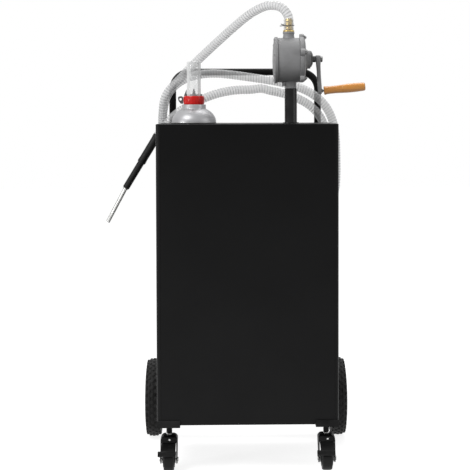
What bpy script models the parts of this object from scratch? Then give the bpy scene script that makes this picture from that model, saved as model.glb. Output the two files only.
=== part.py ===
"""Fuel caddy: a sheet-steel tank on two braked casters and two wheels, with a float gauge in its
filler, a rotary hand pump, a push handle and a coiled clear hose with its nozzle.

Places are worked out with X = 0 and Y = 0 at the tank's middle and Z = 0 on the floor. The whole
object hangs on one empty that moves this point to the middle of its outline.
"""

import math

import bmesh
import bpy
from mathutils import Matrix, Vector

# Gaps and cuts
GAP = 0.0003
CUT_OVERRUN = 0.004

# Tank
TANK_WIDTH = 0.515
TANK_DEPTH = 0.330
TANK_HEIGHT = 0.850
TANK_UNDERSIDE = 0.134
TANK_SHEET = 0.002
TANK_CORNER_RADIUS = 0.012
TANK_EDGE_RADIUS = 0.005

# Filler, on the left of the tank's top
FILLER_FROM_LEFT = 0.1035
FILLER_HOLE_RADIUS = 0.037
GASKET_THICKNESS = 0.002
DOME_RADIUS = 0.065
DOME_HEIGHT = 0.0469
DOME_SHEET = 0.002
DOME_SHOULDER_RADIUS = 0.031
NECK_RING_RADIUS = 0.0335
NECK_RING_HEIGHT = 0.009
NECK_RADIUS = 0.0270
NECK_BORE_RADIUS = 0.0235
NECK_THREAD_HEIGHT = 0.0175
CAP_RADIUS = 0.0312
CAP_HEIGHT = 0.0245
CAP_WALL = 0.0037
CAP_TOP = 0.003
CAP_FLUTES = 20
CAP_FLUTE_DEPTH = 0.0009
LUG_REACH = 0.0150
LUG_HEIGHT = 0.0225
LUG_THICKNESS = 0.012
LUG_HOLE_RADIUS = 0.0038
CLIP_WIDTH = 0.0030
CLIP_HEIGHT = 0.0055
CLIP_WEDGE_HEIGHT = 0.019
CLIP_WEDGE_REACH = 0.0085

# Float gauge
SIGHT_RADIUS = 0.0205
SIGHT_WALL = 0.004
SIGHT_HEIGHT = 0.1005
SIGHT_FLANGE = 0.0018
GAUGE_FLANGE_RADIUS = 0.0265
GAUGE_FLANGE = 0.0015
STEM_RADIUS = 0.006
STEM_BORE_RADIUS = 0.004
GAUGE_DROP = 0.400
GAUGE_TURN_DEG = -14
CHEEK_THICKNESS = 0.0022
CHEEK_LENGTH = 0.058
CHEEK_WIDTH = 0.016
PIVOT_OFFSET = 0.016
PIVOT_PIN_RADIUS = 0.002
ARM_THICKNESS = 0.005
ARM_WIDTH = 0.008
ARM_LENGTH = 0.360
ARM_REST_DEG = 50
FLOAT_RADIUS = 0.019
FLOAT_LENGTH = 0.080
ROD_RADIUS = 0.0015
ROD_FOOT_RADIUS = 0.0022
ROD_FOOT_HEIGHT = 0.004
TIP_RADIUS = 0.006
TIP_HEIGHT = 0.022
TIP_ABOVE_CAP = 0.022

# Rotary pump, on the right of the tank's top; its axis runs along X
PUMP_FROM_RIGHT = 0.1270
PUMP_HEIGHT = 0.185
PIPE_RADIUS = 0.0182
PIPE_WALL = 0.003
PIPE_FLOOR_CLEARANCE = 0.040
STRAINER_RADIUS = 0.0222
STRAINER_HEIGHT = 0.034
STRAINER_SLOTS = 8
STRAINER_SLOT_WIDTH = 0.004
BUNG_WALL = 0.0035
BUNG_RISE = 0.0025
BUNG_DEPTH = 0.012
DRUM_RADIUS = 0.0655
DRUM_LENGTH = 0.064
DRUM_LEFT_FROM_PIPE = 0.0390
OUTLET_FROM_PIPE = 0.0060
CHAMBER_RADIUS = 0.0580
SHAFT_RISE = 0.0032
REAR_COVER_RADIUS = 0.0682
REAR_COVER_THICKNESS = 0.0090
REAR_COVER_BULGE = 0.0055
FRONT_COVER_THICKNESS = 0.0182
FRONT_COVER_RADIUS = 0.0670
FRONT_EAR_REACH = 0.0665
FRONT_EAR_RADIUS = 0.0105
FRONT_EARS = 4
BOSS_RADIUS = 0.0300
BOSS_END_RADIUS = 0.0265
BOSS_LENGTH = 0.0176
PACKING_RADIUS = 0.0235
PACKING_END_RADIUS = 0.0125
PACKING_LENGTH = 0.0060
NECK_OUTER_RADIUS = 0.0172
PORT_RADIUS = 0.0105
TOP_NECK_RISE = 0.0175
BOTTOM_NECK_DROP = 0.0195
BOTTOM_NECK_RADIUS = 0.0168
DRAIN_RADIUS = 0.0058
DRAIN_DROP = 0.0095
DRAIN_FROM_LEFT = 0.0190
ROTOR_RADIUS = 0.0525
ROTOR_END_GAP = 0.0004
VANES = 4
VANE_THICKNESS = 0.0045
VANE_HEIGHT = 0.0240
VANE_PROUD = 0.0008
VANE_SIDE_GAP = 0.0004
SHAFT_RADIUS = 0.0094
SHAFT_SHOULDER = 0.0120
SHAFT_END_RADIUS = 0.0048

# Crank
CRANK_HUB_RADIUS = 0.0112
CRANK_HUB_LENGTH = 0.0147
CRANK_RADIUS = 0.0930
CRANK_END_THICKNESS = 0.0112
CRANK_END_RADIUS = 0.0095
CRANK_SPLAY_DEG = 4.5
CRANK_NUT_RADIUS = 0.0088
CRANK_NUT_HEIGHT = 0.0055
GRIP_TILT_DEG = 5.5
SPINDLE_RADIUS = 0.0030
SPINDLE_SHOW = 0.0060
GRIP_LENGTH = 0.1220
GRIP_RADIUS = 0.0136
GRIP_STEPS = 14

# Outlet and hose end
BARB_SEAT_RADIUS = 0.0165
BARB_SEAT_HEIGHT = 0.004
BARB_RADIUS = 0.0100
BARB_WAIST_RADIUS = 0.0085
BARB_BORE_RADIUS = 0.0062
BARB_LENGTH = 0.0340
BARB_RINGS = 3
HOSE_RADIUS = 0.0135
HOSE_WALL = 0.0035
HOSE_END_RADIUS = 0.0148
HOSE_POINT_DIAMETERS = 1.5
CLAMP_RADIUS = 0.0164
CLAMP_WIDTH = 0.0080
CLAMP_RISE = 0.0150
CLAMP_SCREW_RADIUS = 0.0038
CLAMP_SCREW_LENGTH = 0.0170
CLAMP_TURN_DEG = 205

# Hose coil behind the tank: ovals, squarer at the lower left, whose tops fall to the right
COIL_LOOPS = 1.70
COIL_POINTS_PER_LOOP = 24
COIL_CENTRE_X = 0.0165
COIL_CENTRE_Z = 0.8913
COIL_HALF_WIDTH = 0.2757
COIL_HALF_HEIGHT = 0.2565
COIL_DRAW_IN_X = 0.0115
COIL_DRAW_IN_Z = 0.0150
COIL_TOP_SLOPE = 0.1669
COIL_LANE_FROM_WALL = 0.0318
COIL_LANE_SWAY = 0.0174
COIL_SWAY_START = 0.20
COIL_BULGE = 0.0345
COIL_BULGE_ANGLE_DEG = 165.5
COIL_BULGE_POWER = 26
COIL_ROUND_POWER = 3.35
COIL_SQUARE_POWER = 7.2
COIL_SQUARE_ANGLE_DEG = 212.4

# Nozzle
NOZZLE_GRIP_SHARE = 0.52
NOZZLE_GRIP_RADIUS = 0.0131
NOZZLE_GRIP_WAIST = 0.0006
NOZZLE_GRIP_COLLAR = 0.009
NOZZLE_BARREL_RADIUS = 0.0105
NOZZLE_SPOUT_RADIUS = 0.0055
NOZZLE_SPOUT_WALL = 0.0010
NOZZLE_SPOUT_HOLE_DEPTH = 0.030

# Handle and the frame behind the tank
HANDLE_TUBE_RADIUS = 0.0108
HANDLE_WIDTH = 0.4536
HANDLE_RISE = 0.158
HANDLE_BEND_RADIUS = 0.055
HANDLE_BEND_STEPS = 8
HANDLE_FROM_WALL = 0.074
BRACE_Z = 0.860
STANDOFF_SPACING = 0.220
STANDOFF_RADIUS = 0.009
STANDOFF_FOOT_RADIUS = 0.018
STANDOFF_FOOT = 0.004
HOOK_SPACING = 0.200
HOOK_WIDTH = 0.026
HOOK_STRIP = 0.004
HOOK_LIP = 0.018
HOOK_BACK = 0.085

# Rear wheels and axle
WHEEL_RADIUS = 0.1203
TYRE_WIDTH = 0.048
TRACK = 0.575
RIM_RADIUS = 0.0700
RIM_WIDTH = 0.037
RIM_SHEET = 0.004
RIM_DISC = 0.008
HUB_RADIUS = 0.0150
HUB_LENGTH = 0.044
AXLE_RADIUS = 0.0080
AXLE_TUBE_RADIUS = 0.0125
AXLE_CAP_RADIUS = 0.0130
AXLE_CAP_DEPTH = 0.0052
AXLE_CAP_WALL = 0.0014
AXLE_BRACKET_SPACING = 0.360
AXLE_BRACKET_PLATE = 0.005
AXLE_BRACKET_HEIGHT = 0.170
AXLE_BRACKET_EYE = 0.027
TYRE_STEPS = 28
TYRE_LUGS = 18
TYRE_LUG_HEIGHT = 0.0030

# Casters
CASTER_SPACING = 0.4486
CASTER_FROM_FRONT = 0.045
CASTER_BRACKET_WIDTH = 0.0655
CASTER_BRACKET_LEG = 0.082
CASTER_BRACKET_LIP = 0.0200
CASTER_BRACKET_SHEET = 0.0040
CASTER_BRACKET_FLOOR = 0.0060
CASTER_STEM_RADIUS = 0.0083
CASTER_WHEEL_RADIUS = 0.0335
CASTER_TREAD_WIDTH = 0.029
CASTER_HUB_RADIUS = 0.0225
CASTER_HUB_WIDTH = 0.038
CASTER_TRAIL = 0.027
CASTER_HOUSING_TOP = 0.0990
CASTER_HOUSING_WIDTH = 0.049
CASTER_HOUSING_WALL = 0.003
CASTER_SHOULDER = 0.013
CASTER_CROWN_RADIUS = 0.027
CASTER_EYE_RADIUS = 0.0115
CASTER_RACE_RADIUS = 0.0120
CASTER_RACE_HEIGHT = 0.0030
KINGPIN_RADIUS = 0.0042
KINGPIN_HEAD_RADIUS = 0.0075
KINGPIN_HEAD = 0.0040
CASTER_AXLE_RADIUS = 0.0040
CASTER_AXLE_HEAD_RADIUS = 0.0065
CASTER_AXLE_HEAD = 0.0028
BRAKE_PLATE = 0.0025
BRAKE_BARREL_RADIUS = 0.0040
BRAKE_PIVOT_BEHIND = 0.012
BRAKE_PIVOT_Z = 0.0805
BRAKE_ARM_WIDTH = 0.0400
BRAKE_TAB = 0.0055

TANK_TOP = TANK_UNDERSIDE + TANK_HEIGHT
FRONT = -TANK_DEPTH / 2
BACK = TANK_DEPTH / 2
FILLER_X = -TANK_WIDTH / 2 + FILLER_FROM_LEFT
PIPE_X = TANK_WIDTH / 2 - PUMP_FROM_RIGHT
PUMP_Z = TANK_TOP + PUMP_HEIGHT
SHAFT_Z = PUMP_Z + SHAFT_RISE
OUTLET_X = PIPE_X - OUTLET_FROM_PIPE
AXLE_Y = BACK + HANDLE_FROM_WALL
CASTER_Y = FRONT + CASTER_FROM_FRONT
COIL_Y = BACK + COIL_LANE_FROM_WALL


def clear_scene():
    for obj in list(bpy.data.objects):
        bpy.data.objects.remove(obj, do_unlink=True)
    for data in (bpy.data.meshes, bpy.data.curves, bpy.data.materials):
        for block in list(data):
            data.remove(block)


def material(name, colour, roughness, metallic=0.0, alpha=1.0):
    """A Principled BSDF of one colour."""
    made = bpy.data.materials.new(name)
    made.use_nodes = True
    shader = made.node_tree.nodes["Principled BSDF"]
    shader.inputs["Base Color"].default_value = (*colour, 1.0)
    shader.inputs["Roughness"].default_value = roughness
    shader.inputs["Metallic"].default_value = metallic
    shader.inputs["Alpha"].default_value = alpha
    return made


def empty(name, parent=None, location=(0, 0, 0), rotation=None):
    obj = bpy.data.objects.new(name, None)
    bpy.context.collection.objects.link(obj)
    obj.parent = parent
    obj.location = location
    if rotation is not None:
        obj.rotation_euler = rotation
    return obj


def finish_mesh(bm, name, paint, parent, location=(0, 0, 0), smooth_deg=35):
    """Turns a bmesh into an object, with its normals outward and its round faces smooth."""
    bmesh.ops.recalc_face_normals(bm, faces=bm.faces)
    mesh = bpy.data.meshes.new(name)
    bm.to_mesh(mesh)
    bm.free()
    mesh.shade_smooth()
    mesh.set_sharp_from_angle(angle=math.radians(smooth_deg))
    obj = bpy.data.objects.new(name, mesh)
    bpy.context.collection.objects.link(obj)
    obj.parent = parent
    obj.location = location
    if paint is not None:
        mesh.materials.append(paint)
    return obj


def axis_matrix(axis):
    """Turns a shape made along Z so that its Z runs along X, Y or Z."""
    if axis == "X":
        return Matrix.Rotation(math.radians(90), 4, "Y")
    if axis == "Y":
        return Matrix.Rotation(math.radians(-90), 4, "X")
    return Matrix.Identity(4)


def lathe_mesh(outline, steps, axis="Z", closed=False):
    """A bmesh turned from (radius, height) points. An open outline starts and ends on the axis."""
    bm = bmesh.new()
    verts = [bm.verts.new((radius, 0, height)) for radius, height in outline]
    ends = list(zip(verts, verts[1:]))
    if closed:
        ends.append((verts[-1], verts[0]))
    edges = [bm.edges.new(pair) for pair in ends]
    bmesh.ops.spin(
        bm, geom=verts + edges, cent=(0, 0, 0), axis=(0, 0, 1), dvec=(0, 0, 0),
        angle=math.tau, steps=steps, use_duplicate=False,
    )
    bmesh.ops.remove_doubles(bm, verts=bm.verts, dist=GAP / 100)
    bmesh.ops.transform(bm, matrix=axis_matrix(axis), verts=bm.verts)
    return bm


def lathe(name, outline, steps, paint, parent, location=(0, 0, 0), axis="Z", closed=False):
    return finish_mesh(lathe_mesh(outline, steps, axis, closed), name, paint, parent, location)


def prism_mesh(outline, low, high, axis="Z"):
    """A bmesh of a flat outline carried along an axis. For X the points are (y, z), for Y (x, z)."""
    bm = bmesh.new()
    place = {
        "X": lambda a, b, c: (c, a, b),
        "Y": lambda a, b, c: (a, c, b),
        "Z": lambda a, b, c: (a, b, c),
    }[axis]
    face = bm.faces.new([bm.verts.new(place(a, b, low)) for a, b in outline])
    swept = bmesh.ops.extrude_face_region(bm, geom=[face])
    top = [item for item in swept["geom"] if isinstance(item, bmesh.types.BMVert)]
    bmesh.ops.translate(bm, verts=top, vec=place(0, 0, high - low))
    return bm


def prism(name, outline, low, high, paint, parent, location=(0, 0, 0), axis="Z"):
    return finish_mesh(prism_mesh(outline, low, high, axis), name, paint, parent, location)


def circle(radius, steps, centre=(0, 0), start_deg=0, end_deg=360):
    """Points round an arc; a whole circle leaves out its last point."""
    span = end_deg - start_deg
    count = steps if span == 360 else steps + 1
    angles = [math.radians(start_deg + span * i / steps) for i in range(count)]
    return [(centre[0] + radius * math.cos(a), centre[1] + radius * math.sin(a)) for a in angles]


def box_mesh(size, centre):
    bm = bmesh.new()
    bmesh.ops.create_cube(bm, size=1)
    bmesh.ops.scale(bm, vec=size, verts=bm.verts)
    bmesh.ops.translate(bm, vec=centre, verts=bm.verts)
    return bm


def rounded_box_mesh(size, corner, edge, corner_steps=4, edge_steps=2):
    """A box with its upright edges rounded first, then its top and bottom rims."""
    bm = box_mesh(size, (0, 0, 0))
    upright = [e for e in bm.edges if abs(e.verts[0].co.z - e.verts[1].co.z) > size[2] / 2]
    bmesh.ops.bevel(
        bm, geom=upright, offset=corner, offset_type="OFFSET", segments=corner_steps,
        profile=0.5, affect="EDGES",
    )
    rims = [
        e for e in bm.edges
        if abs(e.verts[0].co.z - e.verts[1].co.z) < GAP
        and len({abs(f.normal.z) > 0.5 for f in e.link_faces}) == 2
    ]
    bmesh.ops.bevel(
        bm, geom=rims, offset=edge, offset_type="OFFSET", segments=edge_steps, profile=0.5,
        affect="EDGES",
    )
    return bm


def helper(bm, parent, location=(0, 0, 0)):
    """A cutter or an added shape: left out of the model, and used by a Boolean."""
    obj = finish_mesh(bm, "shape", None, parent, location)
    obj.hide_render = True
    obj.display_type = "WIRE"
    return obj


def combine(target, tool, operation):
    modifier = target.modifiers.new(operation.lower(), "BOOLEAN")
    modifier.operation = operation
    modifier.solver = "EXACT"
    modifier.object = tool
    return target


def cut(target, bm, parent, location=(0, 0, 0)):
    return combine(target, helper(bm, parent, location), "DIFFERENCE")


def join(target, bm, parent, location=(0, 0, 0)):
    return combine(target, helper(bm, parent, location), "UNION")


def tube(name, points, radius, resolution, paint, parent):
    """A round tube along points, with filled ends."""
    curve = bpy.data.curves.new(name, "CURVE")
    curve.dimensions = "3D"
    curve.bevel_depth = radius
    curve.bevel_resolution = resolution
    curve.use_fill_caps = True
    spline = curve.splines.new("POLY")
    spline.points.add(len(points) - 1)
    for point, place in zip(spline.points, points):
        point.co = (*place, 1.0)
    spline.use_smooth = True
    obj = bpy.data.objects.new(name, curve)
    bpy.context.collection.objects.link(obj)
    obj.parent = parent
    curve.materials.append(paint)
    return obj


def make_paints():
    return {
        "black_paint": material("black_paint", (0.012, 0.012, 0.013), 0.35),
        "spun_metal": material("spun_metal", (0.72, 0.73, 0.74), 0.22, 1.0),
        "red_plastic": material("red_plastic", (0.62, 0.02, 0.02), 0.25),
        "dark_plastic": material("dark_plastic", (0.04, 0.04, 0.045), 0.45),
        "clear_plastic": material("clear_plastic", (0.85, 0.88, 0.88), 0.08, 0.0, 0.4),
        "black_rubber": material("black_rubber", (0.02, 0.02, 0.02), 0.8),
        "cast_metal": material("cast_metal", (0.30, 0.30, 0.30), 0.55, 0.6),
        "bright_steel": material("bright_steel", (0.6, 0.6, 0.6), 0.3, 1.0),
        "dark_steel": material("dark_steel", (0.05, 0.05, 0.05), 0.4, 0.9),
        "brass": material("brass", (0.72, 0.50, 0.20), 0.3, 1.0),
        "wood": material("wood", (0.58, 0.28, 0.09), 0.4),
        "float_foam": material("float_foam", (0.05, 0.05, 0.05), 0.7),
    }


def make_tank(root, paints):
    size = (TANK_WIDTH, TANK_DEPTH, TANK_HEIGHT)
    middle = (0, 0, TANK_UNDERSIDE + TANK_HEIGHT / 2)
    shell = rounded_box_mesh(size, TANK_CORNER_RADIUS, TANK_EDGE_RADIUS)
    tank = finish_mesh(shell, "tank", paints["black_paint"], root, middle)
    inside = tuple(side - 2 * TANK_SHEET for side in size)
    hollow = rounded_box_mesh(inside, TANK_CORNER_RADIUS - TANK_SHEET, TANK_EDGE_RADIUS - TANK_SHEET)
    cut(tank, hollow, root, middle)
    for x, radius in ((FILLER_X, FILLER_HOLE_RADIUS), (PIPE_X, PIPE_RADIUS + BUNG_WALL + GAP)):
        hole = prism_mesh(circle(radius, 20), -TANK_SHEET - CUT_OVERRUN, CUT_OVERRUN)
        cut(tank, hole, root, (x, 0, TANK_TOP))


def dome_outline():
    """The dome's shell from its foot up to the threaded neck and down inside, as (radius, height)."""
    shoulder = DOME_HEIGHT - NECK_RING_HEIGHT / 3
    # The outer side is a quarter of an ellipse from the foot to the shoulder.
    steps = 5
    bulge = DOME_RADIUS - DOME_SHOULDER_RADIUS
    outer, inner = [], []
    for i in range(steps + 1):
        angle = math.radians(90) * i / steps
        radius = DOME_SHOULDER_RADIUS + bulge * math.cos(angle)
        height = shoulder * math.sin(angle)
        outer.append((radius, DOME_SHEET + height * (shoulder - DOME_SHEET) / shoulder))
        inner.append((radius - DOME_SHEET, height * (shoulder - 2 * DOME_SHEET) / shoulder))
    ring_top = DOME_HEIGHT + NECK_RING_HEIGHT * 2 / 3
    neck_top = ring_top + NECK_THREAD_HEIGHT
    neck = [
        (NECK_RING_RADIUS, shoulder),
        (NECK_RING_RADIUS, ring_top),
        (NECK_RADIUS, ring_top),
        (NECK_RADIUS, neck_top),
        (NECK_BORE_RADIUS, neck_top),
        (NECK_BORE_RADIUS, shoulder - 2 * DOME_SHEET),
    ]
    foot = [(DOME_RADIUS - 2 * DOME_SHEET, 0), (DOME_RADIUS, 0)]
    return foot + outer[1:-1] + neck + list(reversed(inner[1:-1])), ring_top, neck_top


def make_filler(root, paints):
    """The fixed gasket and dome, and the cap with all that is lifted off with it."""
    gasket_z = TANK_TOP + GAP
    ring = [
        (FILLER_HOLE_RADIUS + GASKET_THICKNESS, 0),
        (DOME_RADIUS + GASKET_THICKNESS / 4, 0),
        (DOME_RADIUS + GASKET_THICKNESS / 4, GASKET_THICKNESS),
        (FILLER_HOLE_RADIUS + GASKET_THICKNESS, GASKET_THICKNESS),
    ]
    lathe("filler_gasket", ring, 24, paints["black_rubber"], root, (FILLER_X, 0, gasket_z), closed=True)
    outline, ring_top, neck_top = dome_outline()
    dome_z = gasket_z + GASKET_THICKNESS + GAP
    lathe("filler_dome", outline, 24, paints["spun_metal"], root, (FILLER_X, 0, dome_z), closed=True)
    cap = empty("cap_axis", root, (FILLER_X, 0, dome_z + ring_top + GAP))
    make_cap(cap, paints)
    make_gauge(cap, paints, neck_top - ring_top)


def make_cap(cap, paints):
    """The screw cap with shallow flutes, its lock lug and the clip behind the sight tube."""
    points = 3 * CAP_FLUTES
    rim = []
    for i in range(points):
        angle = math.tau * i / points
        radius = CAP_RADIUS - CAP_FLUTE_DEPTH * (1 if i % 3 == 0 else 0)
        rim.append((radius * math.cos(angle), radius * math.sin(angle)))
    body = prism("filler_cap", rim, 0, CAP_HEIGHT, paints["red_plastic"], cap)
    inner = CAP_RADIUS - CAP_WALL
    cut(body, prism_mesh(circle(inner, 20), -CUT_OVERRUN, CAP_HEIGHT - CAP_TOP), cap)
    cut(body, prism_mesh(circle(SIGHT_RADIUS + GAP, 20), 0, CAP_HEIGHT + CUT_OVERRUN), cap)

    start = -CAP_RADIUS - GAP
    drop = LUG_HEIGHT / 4
    outline = [
        (start, CAP_HEIGHT - drop / 2),
        (start - LUG_REACH * 0.35, CAP_HEIGHT),
        (start - LUG_REACH * 0.9, CAP_HEIGHT - drop / 3),
        (start - LUG_REACH, CAP_HEIGHT - drop),
        (start - LUG_REACH * 0.9, CAP_HEIGHT - LUG_HEIGHT * 0.62),
        (start - LUG_REACH * 0.45, CAP_HEIGHT - LUG_HEIGHT),
        (start, CAP_HEIGHT - LUG_HEIGHT),
    ]
    half = LUG_THICKNESS / 2
    lug = prism("lock_lug", outline, -half, half, paints["dark_plastic"], cap, axis="Y")
    eye = circle(LUG_HOLE_RADIUS, 16, (start - LUG_REACH / 2, CAP_HEIGHT - LUG_HEIGHT * 0.42))
    cut(lug, prism_mesh(eye, -LUG_THICKNESS, LUG_THICKNESS, "Y"), cap)

    inside = SIGHT_RADIUS + GAP
    outside = inside + CLIP_WIDTH
    band = circle(outside, 16, (0, 0), -15, 195) + list(reversed(circle(inside, 16, (0, 0), -15, 195)))
    base = CAP_HEIGHT + GAP
    clip = prism("tube_clip", band, base, base + CLIP_HEIGHT, paints["dark_plastic"], cap)
    wedge = [
        (-outside - CLIP_WEDGE_REACH + CLIP_WIDTH, base),
        (-inside - CLIP_WIDTH / 4, base),
        (-inside - CLIP_WIDTH / 4, base + CLIP_WEDGE_HEIGHT),
        (-outside + CLIP_WIDTH / 4, base + CLIP_WEDGE_HEIGHT * 0.85),
    ]
    join(clip, prism_mesh(wedge, -CLIP_WIDTH / 2, CLIP_WIDTH, "Y"), cap)


def make_gauge(cap, paints, neck_height):
    """Sight tube, stem with its fork, float arm and the pointed rod that rides on the arm."""
    stem_z = neck_height + GAP
    sight_z = stem_z + GAUGE_FLANGE + GAP
    bore = SIGHT_RADIUS - SIGHT_WALL
    top = SIGHT_HEIGHT + CAP_HEIGHT - sight_z
    rounding = SIGHT_WALL / 4
    outline = [
        (bore, 0),
        (GAUGE_FLANGE_RADIUS, 0),
        (GAUGE_FLANGE_RADIUS, SIGHT_FLANGE),
        (SIGHT_RADIUS, SIGHT_FLANGE),
        (SIGHT_RADIUS, top - rounding),
        (SIGHT_RADIUS - rounding, top),
        (0, top),
        (0, top - SIGHT_WALL),
        (bore, top - SIGHT_WALL),
    ]
    lathe("sight_tube", outline, 20, paints["clear_plastic"], cap, (0, 0, sight_z), closed=True)

    turned = empty("gauge_turn", cap, (0, 0, 0), (0, 0, math.radians(GAUGE_TURN_DEG)))
    pivot_z = stem_z - GAUGE_DROP
    tube_end = pivot_z + CHEEK_LENGTH * 0.55
    outline = [
        (STEM_BORE_RADIUS, tube_end),
        (STEM_RADIUS, tube_end),
        (STEM_RADIUS, stem_z),
        (GAUGE_FLANGE_RADIUS, stem_z),
        (GAUGE_FLANGE_RADIUS, stem_z + GAUGE_FLANGE),
        (STEM_BORE_RADIUS, stem_z + GAUGE_FLANGE),
    ]
    stem = lathe("gauge_stem", outline, 12, paints["bright_steel"], turned, closed=True)
    inner_y = ARM_THICKNESS / 2 + GAP
    outer_y = inner_y + CHEEK_THICKNESS
    left = -PIVOT_OFFSET - CHEEK_WIDTH / 2
    right = left + CHEEK_WIDTH * 1.85
    low = pivot_z - CHEEK_WIDTH / 2
    outline = [
        (left, low),
        (right, low),
        (right, pivot_z + CHEEK_LENGTH),
        (-STEM_RADIUS, pivot_z + CHEEK_LENGTH),
        (left, pivot_z + CHEEK_LENGTH * 0.5),
    ]
    for a, b in ((inner_y, outer_y), (-outer_y, -inner_y)):
        join(stem, prism_mesh(outline, a, b, "Y"), turned)
    pin_hole = circle(PIVOT_PIN_RADIUS + GAP, 16, (-PIVOT_OFFSET, pivot_z))
    cut(stem, prism_mesh(pin_hole, -outer_y - CUT_OVERRUN, outer_y + CUT_OVERRUN, "Y"), turned)

    pivot = empty("float_pivot", turned, (-PIVOT_OFFSET, 0, pivot_z))
    down = empty("float_rest", pivot, (0, 0, 0), (0, math.radians(ARM_REST_DEG), 0))
    half = ARM_WIDTH / 2
    float_start = ARM_LENGTH - FLOAT_LENGTH / 2
    outline = circle(half, 10, (0, 0), 90, 270) + [(float_start - GAP, -half), (float_start - GAP, half)]
    flat = ARM_THICKNESS / 2
    arm = prism("float_arm", outline, -flat, flat, paints["bright_steel"], down, axis="Y")
    join(arm, prism_mesh(circle(PIVOT_PIN_RADIUS, 14), -outer_y, outer_y, "Y"), down)
    shoulder = FLOAT_RADIUS / 3
    outline = [
        (0, 0),
        (FLOAT_RADIUS - shoulder, 0),
        (FLOAT_RADIUS, shoulder),
        (FLOAT_RADIUS, FLOAT_LENGTH - shoulder),
        (FLOAT_RADIUS - shoulder, FLOAT_LENGTH),
        (0, FLOAT_LENGTH),
    ]
    outline.reverse()
    lathe("float", outline, 14, paints["float_foam"], down, (float_start, 0, 0), axis="X")

    rest = math.radians(ARM_REST_DEG)
    arm_top = pivot_z - PIVOT_OFFSET * math.tan(rest) + half / math.cos(rest)
    foot = arm_top + GAP / math.cos(rest)
    tip = CAP_HEIGHT + TIP_ABOVE_CAP
    outline = [
        (0, tip),
        (TIP_RADIUS, tip - TIP_HEIGHT),
        (ROD_RADIUS, tip - TIP_HEIGHT),
        (ROD_RADIUS, foot + ROD_FOOT_HEIGHT),
        (ROD_FOOT_RADIUS, foot + ROD_FOOT_HEIGHT),
        (ROD_FOOT_RADIUS, foot + ROD_FOOT_RADIUS * math.tan(rest)),
        (0, foot),
    ]
    lathe("gauge_indicator", outline, 10, paints["float_foam"], cap)


def make_suction(root, paints):
    """The pipe through the tank's top, its bung ring and the strainer at its foot."""
    top = PUMP_Z - math.sqrt(DRUM_RADIUS**2 - BOTTOM_NECK_RADIUS**2) - BOTTOM_NECK_DROP - GAP
    foot = TANK_UNDERSIDE + TANK_SHEET + PIPE_FLOOR_CLEARANCE
    bore = PIPE_RADIUS - PIPE_WALL
    outline = [(bore, foot), (PIPE_RADIUS, foot), (PIPE_RADIUS, top), (bore, top)]
    lathe("suction_pipe", outline, 20, paints["black_paint"], root, (PIPE_X, 0, 0), closed=True)
    inside = PIPE_RADIUS + GAP
    outside = PIPE_RADIUS + BUNG_WALL
    rim = outside + BUNG_WALL / 2
    low = TANK_TOP - TANK_SHEET - BUNG_DEPTH
    seat = TANK_TOP + GAP
    outline = [
        (inside, low), (outside, low), (outside, seat), (rim, seat), (rim, seat + BUNG_RISE),
        (inside, seat + BUNG_RISE),
    ]
    lathe("bung_ring", outline, 20, paints["black_paint"], root, (PIPE_X, 0, 0), closed=True)
    # The strainer is a slotted cup round the foot of the pipe.
    end = foot - STRAINER_HEIGHT / 2
    grip = foot + STRAINER_HEIGHT / 2
    wall = STRAINER_RADIUS - PIPE_RADIUS - GAP
    outline = [
        (0, end),
        (STRAINER_RADIUS, end),
        (STRAINER_RADIUS, grip),
        (STRAINER_RADIUS - wall, grip),
        (STRAINER_RADIUS - wall, foot - GAP),
        (bore, foot - GAP),
        (bore, end + wall),
        (0, end + wall),
    ]
    cup = lathe("foot_strainer", outline, 20, paints["brass"], root, (PIPE_X, 0, 0), closed=True)
    for i in range(STRAINER_SLOTS // 2):
        slot = box_mesh((4 * STRAINER_RADIUS, STRAINER_SLOT_WIDTH, STRAINER_HEIGHT / 5), (0, 0, 0))
        turn = Matrix.Rotation(math.pi * i / (STRAINER_SLOTS // 2), 4, "Z")
        bmesh.ops.transform(slot, matrix=turn, verts=slot.verts)
        cut(cup, slot, root, (PIPE_X, 0, end + wall + STRAINER_HEIGHT / 7))


def pump_x():
    """Where each slice of the pump starts along X, from its rear cover to the crank's hub."""
    drum = PIPE_X - DRUM_LEFT_FROM_PIPE
    rear = drum - GAP - REAR_COVER_THICKNESS
    front = drum + DRUM_LENGTH + GAP
    boss = front + FRONT_COVER_THICKNESS
    packing = boss + BOSS_LENGTH + GAP
    hub = boss + BOSS_LENGTH + SHAFT_SHOULDER
    return {"rear": rear, "drum": drum, "front": front, "boss": boss, "packing": packing, "hub": hub}


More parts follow.
